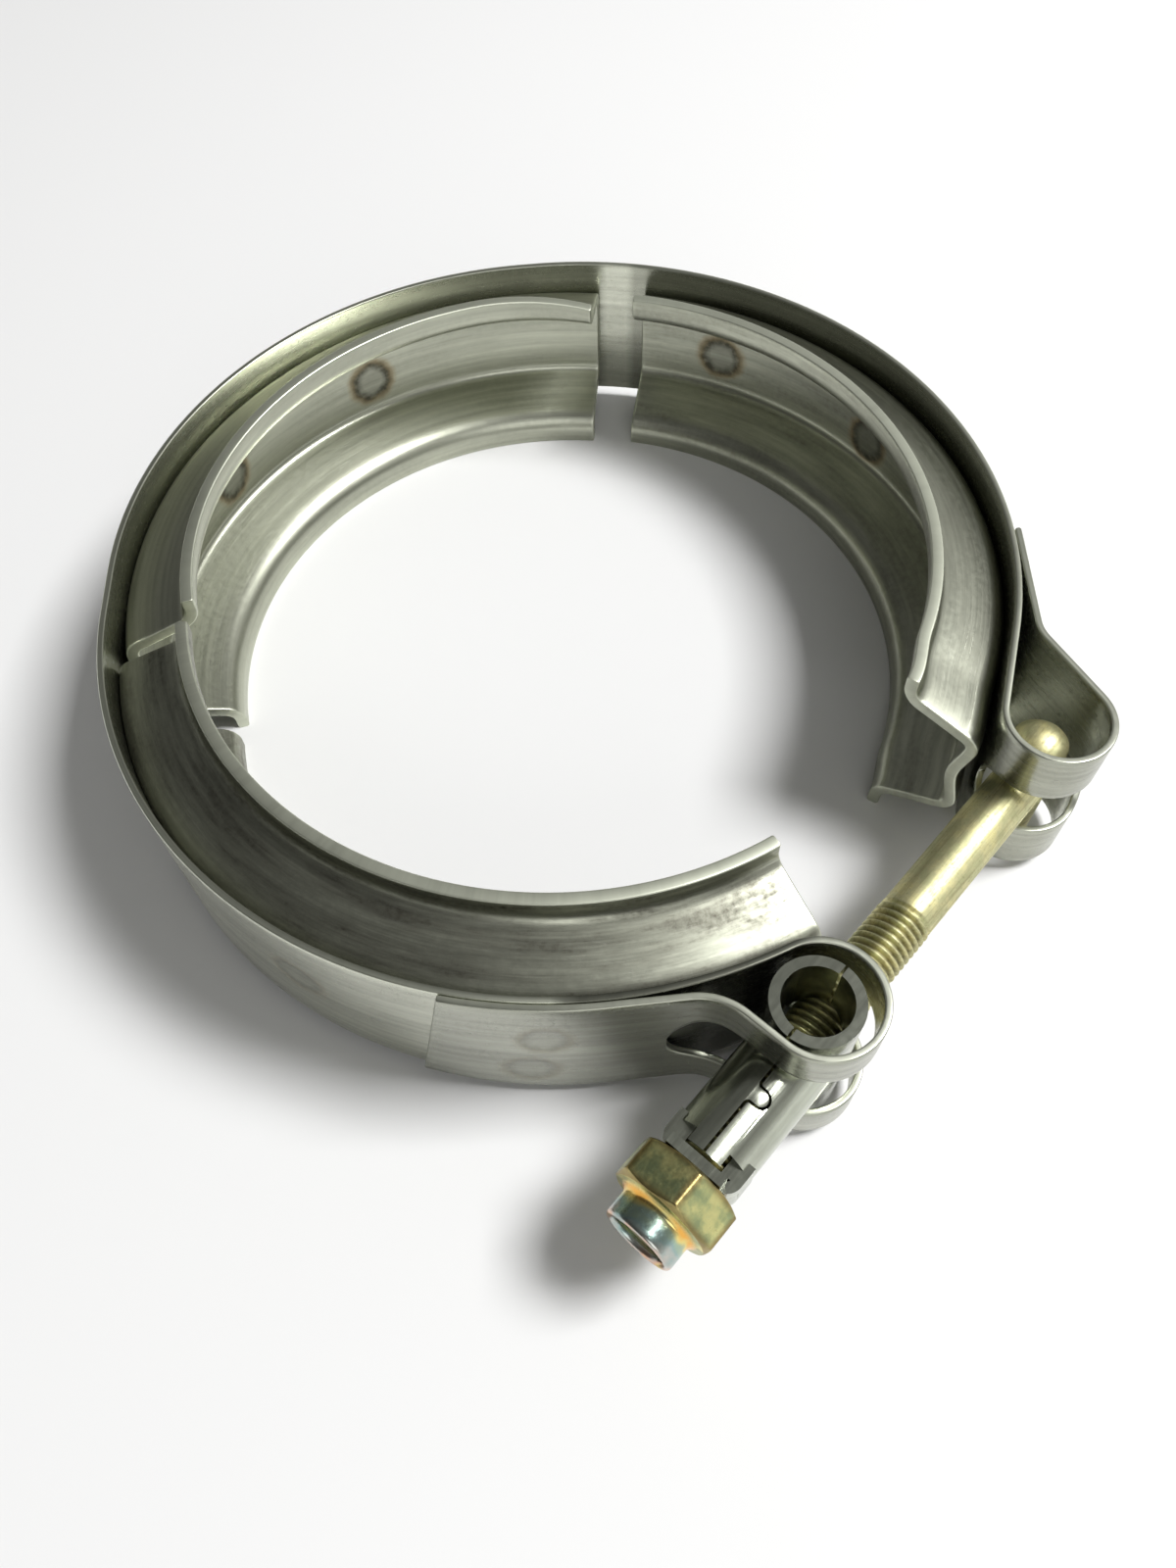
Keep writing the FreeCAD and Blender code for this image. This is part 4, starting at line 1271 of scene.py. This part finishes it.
def world_light():
    """A studio that is bright at the horizon and on the key's side and dim overhead and
    opposite. The camera sees white, and so do reflections at the level of the backdrop."""
    world = bpy.data.worlds.new("studio")
    world.use_nodes = True
    tree = world.node_tree
    tree.nodes.clear()
    w = Wiring(tree)
    way = w.node("TexCoord").outputs["Generated"]
    up = w.node("SeparateXYZ", {"Vector": way}).outputs["Z"]
    key_way = (math.cos(KEY_AZIMUTH), math.sin(KEY_AZIMUTH), 0.0)
    toward = w.range(w.vectors("DOT_PRODUCT", way, key_way)["Value"], -0.7, 0.7, 0.28, 1.25)
    overhead = w.ramp(up, [(stop, (level, level, 0.97 * level)) for stop, level in STUDIO])
    ray = w.node("LightPath").outputs
    mirrored = w.math("MAXIMUM", ray["Is Glossy Ray"], ray["Is Transmission Ray"])
    mirrored = w.times(mirrored, w.range(up, 0.05, 0.20, 1.0, 0.0))
    seen = w.math("MAXIMUM", ray["Is Camera Ray"], mirrored)
    shown = w.mix(seen, w.shaded(overhead, toward), (1, 1, 1, 1))
    back = w.node("Background", {"Color": shown, "Strength": 1.0})
    w.node("OutputWorld", {"Surface": back.outputs[0]})
    bpy.context.scene.world = world


def add_lamp(name, azimuth, elevation, distance, width, power):
    """A square lamp that faces the ring from an azimuth and an elevation."""
    data = bpy.data.lights.new(name, "AREA")
    data.energy = power
    data.size = width
    lamp = add_object(name, data)
    way = Vector((math.cos(azimuth) * math.cos(elevation),
                  math.sin(azimuth) * math.cos(elevation), math.sin(elevation)))
    lamp.location = way * distance
    lamp.rotation_euler = way.to_track_quat("Z", "Y").to_euler()


def add_camera():
    """The camera, from where it stands, which way it looks and how it leans."""
    back = CAMERA_BACK.normalized()
    level = Vector((-back.y, back.x, 0)).normalized()
    across = math.cos(CAMERA_LEAN) * level + math.sin(CAMERA_LEAN) * back.cross(level)
    data = bpy.data.cameras.new("camera")
    data.lens = settings("stage").lens
    data.sensor_width = 36
    data.clip_start = 0.01
    camera = add_object("camera", data)
    turn = Matrix((across, back.cross(across), back)).transposed().to_4x4()
    camera.matrix_world = Matrix.Translation(CAMERA_PLACE) @ turn
    bpy.context.scene.camera = camera


# --- operators and panel -------------------------------------------------------------------

class CLAMP_OT_strap(bpy.types.Operator):
    """Build the strap with its two looped eyes."""
    bl_idname = "clamp.strap"
    bl_label = "Strap"

    def execute(self, context):
        add_strap()
        return {"FINISHED"}


class CLAMP_OT_retainers(bpy.types.Operator):
    """Build the three V retainers."""
    bl_idname = "clamp.retainers"
    bl_label = "V retainers"

    def execute(self, context):
        for which in ("rear", "right", "left"):
            retainer(which)
        return {"FINISHED"}


class CLAMP_OT_t_bolt(bpy.types.Operator):
    """Build the T-bolt with its thread."""
    bl_idname = "clamp.t_bolt"
    bl_label = "T-bolt"

    def execute(self, context):
        add_t_bolt()
        return {"FINISHED"}


class CLAMP_OT_trunnion(bpy.types.Operator):
    """Build the trunnion with rounded edges."""
    bl_idname = "clamp.trunnion"
    bl_label = "Trunnion"

    def execute(self, context):
        add_trunnion()
        return {"FINISHED"}


class CLAMP_OT_nut(bpy.types.Operator):
    """Build the locking nut."""
    bl_idname = "clamp.nut"
    bl_label = "Nut"

    def execute(self, context):
        add_nut()
        return {"FINISHED"}


class CLAMP_OT_stage(bpy.types.Operator):
    """Lay the floor, light it and place the camera."""
    bl_idname = "clamp.stage"
    bl_label = "Stage"

    def execute(self, context):
        stage = settings("stage")
        bpy.ops.mesh.primitive_plane_add(size=4, location=(0, 0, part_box("retainer_rear")[0].z))
        floor = bpy.context.active_object
        floor.name = "floor"
        floor.data.materials.append(floor_material())
        world_light()
        add_lamp("key", KEY_AZIMUTH, math.radians(56), distance=1.2, width=0.38,
                 power=stage.key_power)
        add_lamp("fill", math.radians(-130), math.radians(30), distance=0.9, width=0.5,
                 power=stage.fill_power)
        add_camera()
        bpy.context.scene.view_settings.view_transform = "Standard"
        return {"FINISHED"}


STEPS = (CLAMP_OT_strap, CLAMP_OT_retainers, CLAMP_OT_t_bolt, CLAMP_OT_trunnion, CLAMP_OT_nut,
         CLAMP_OT_stage)
GROUPS = {"ring": ClampRingSizes, "strap": ClampStrapSizes, "bolt": ClampBoltSizes,
          "trunnion": ClampTrunnionSizes, "finish": ClampFinish, "stage": ClampStage}


class CLAMP_PT_panel(bpy.types.Panel):
    """Lists the steps that build the clamp, with its sizes and colours."""
    bl_idname = "CLAMP_PT_panel"
    bl_label = "V-band clamp"
    bl_space_type = "VIEW_3D"
    bl_region_type = "UI"
    bl_category = "Clamp"

    def draw(self, context):
        for step in STEPS:
            self.layout.operator(step.bl_idname)
        for name in GROUPS:
            box = self.layout.box()
            box.label(text=name.capitalize())
            for field in GROUPS[name].__annotations__:
                box.prop(settings(name), field)


def register():
    """Adds the sizes, the steps and the panel."""
    for group in (*GROUPS.values(), *STEPS, CLAMP_PT_panel):
        bpy.utils.register_class(group)
    for name, group in GROUPS.items():
        setattr(bpy.types.Scene, "clamp_" + name, bpy.props.PointerProperty(type=group))


def unregister():
    """Takes them away again."""
    for name in GROUPS:
        delattr(bpy.types.Scene, "clamp_" + name)
    for group in reversed((*GROUPS.values(), *STEPS, CLAMP_PT_panel)):
        bpy.utils.unregister_class(group)


def main():
    """Builds everything."""
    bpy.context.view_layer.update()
    register()
    for step in STEPS:
        family, name = step.bl_idname.split(".")
        getattr(getattr(bpy.ops, family), name)()


if __name__ == "__main__":
    main()
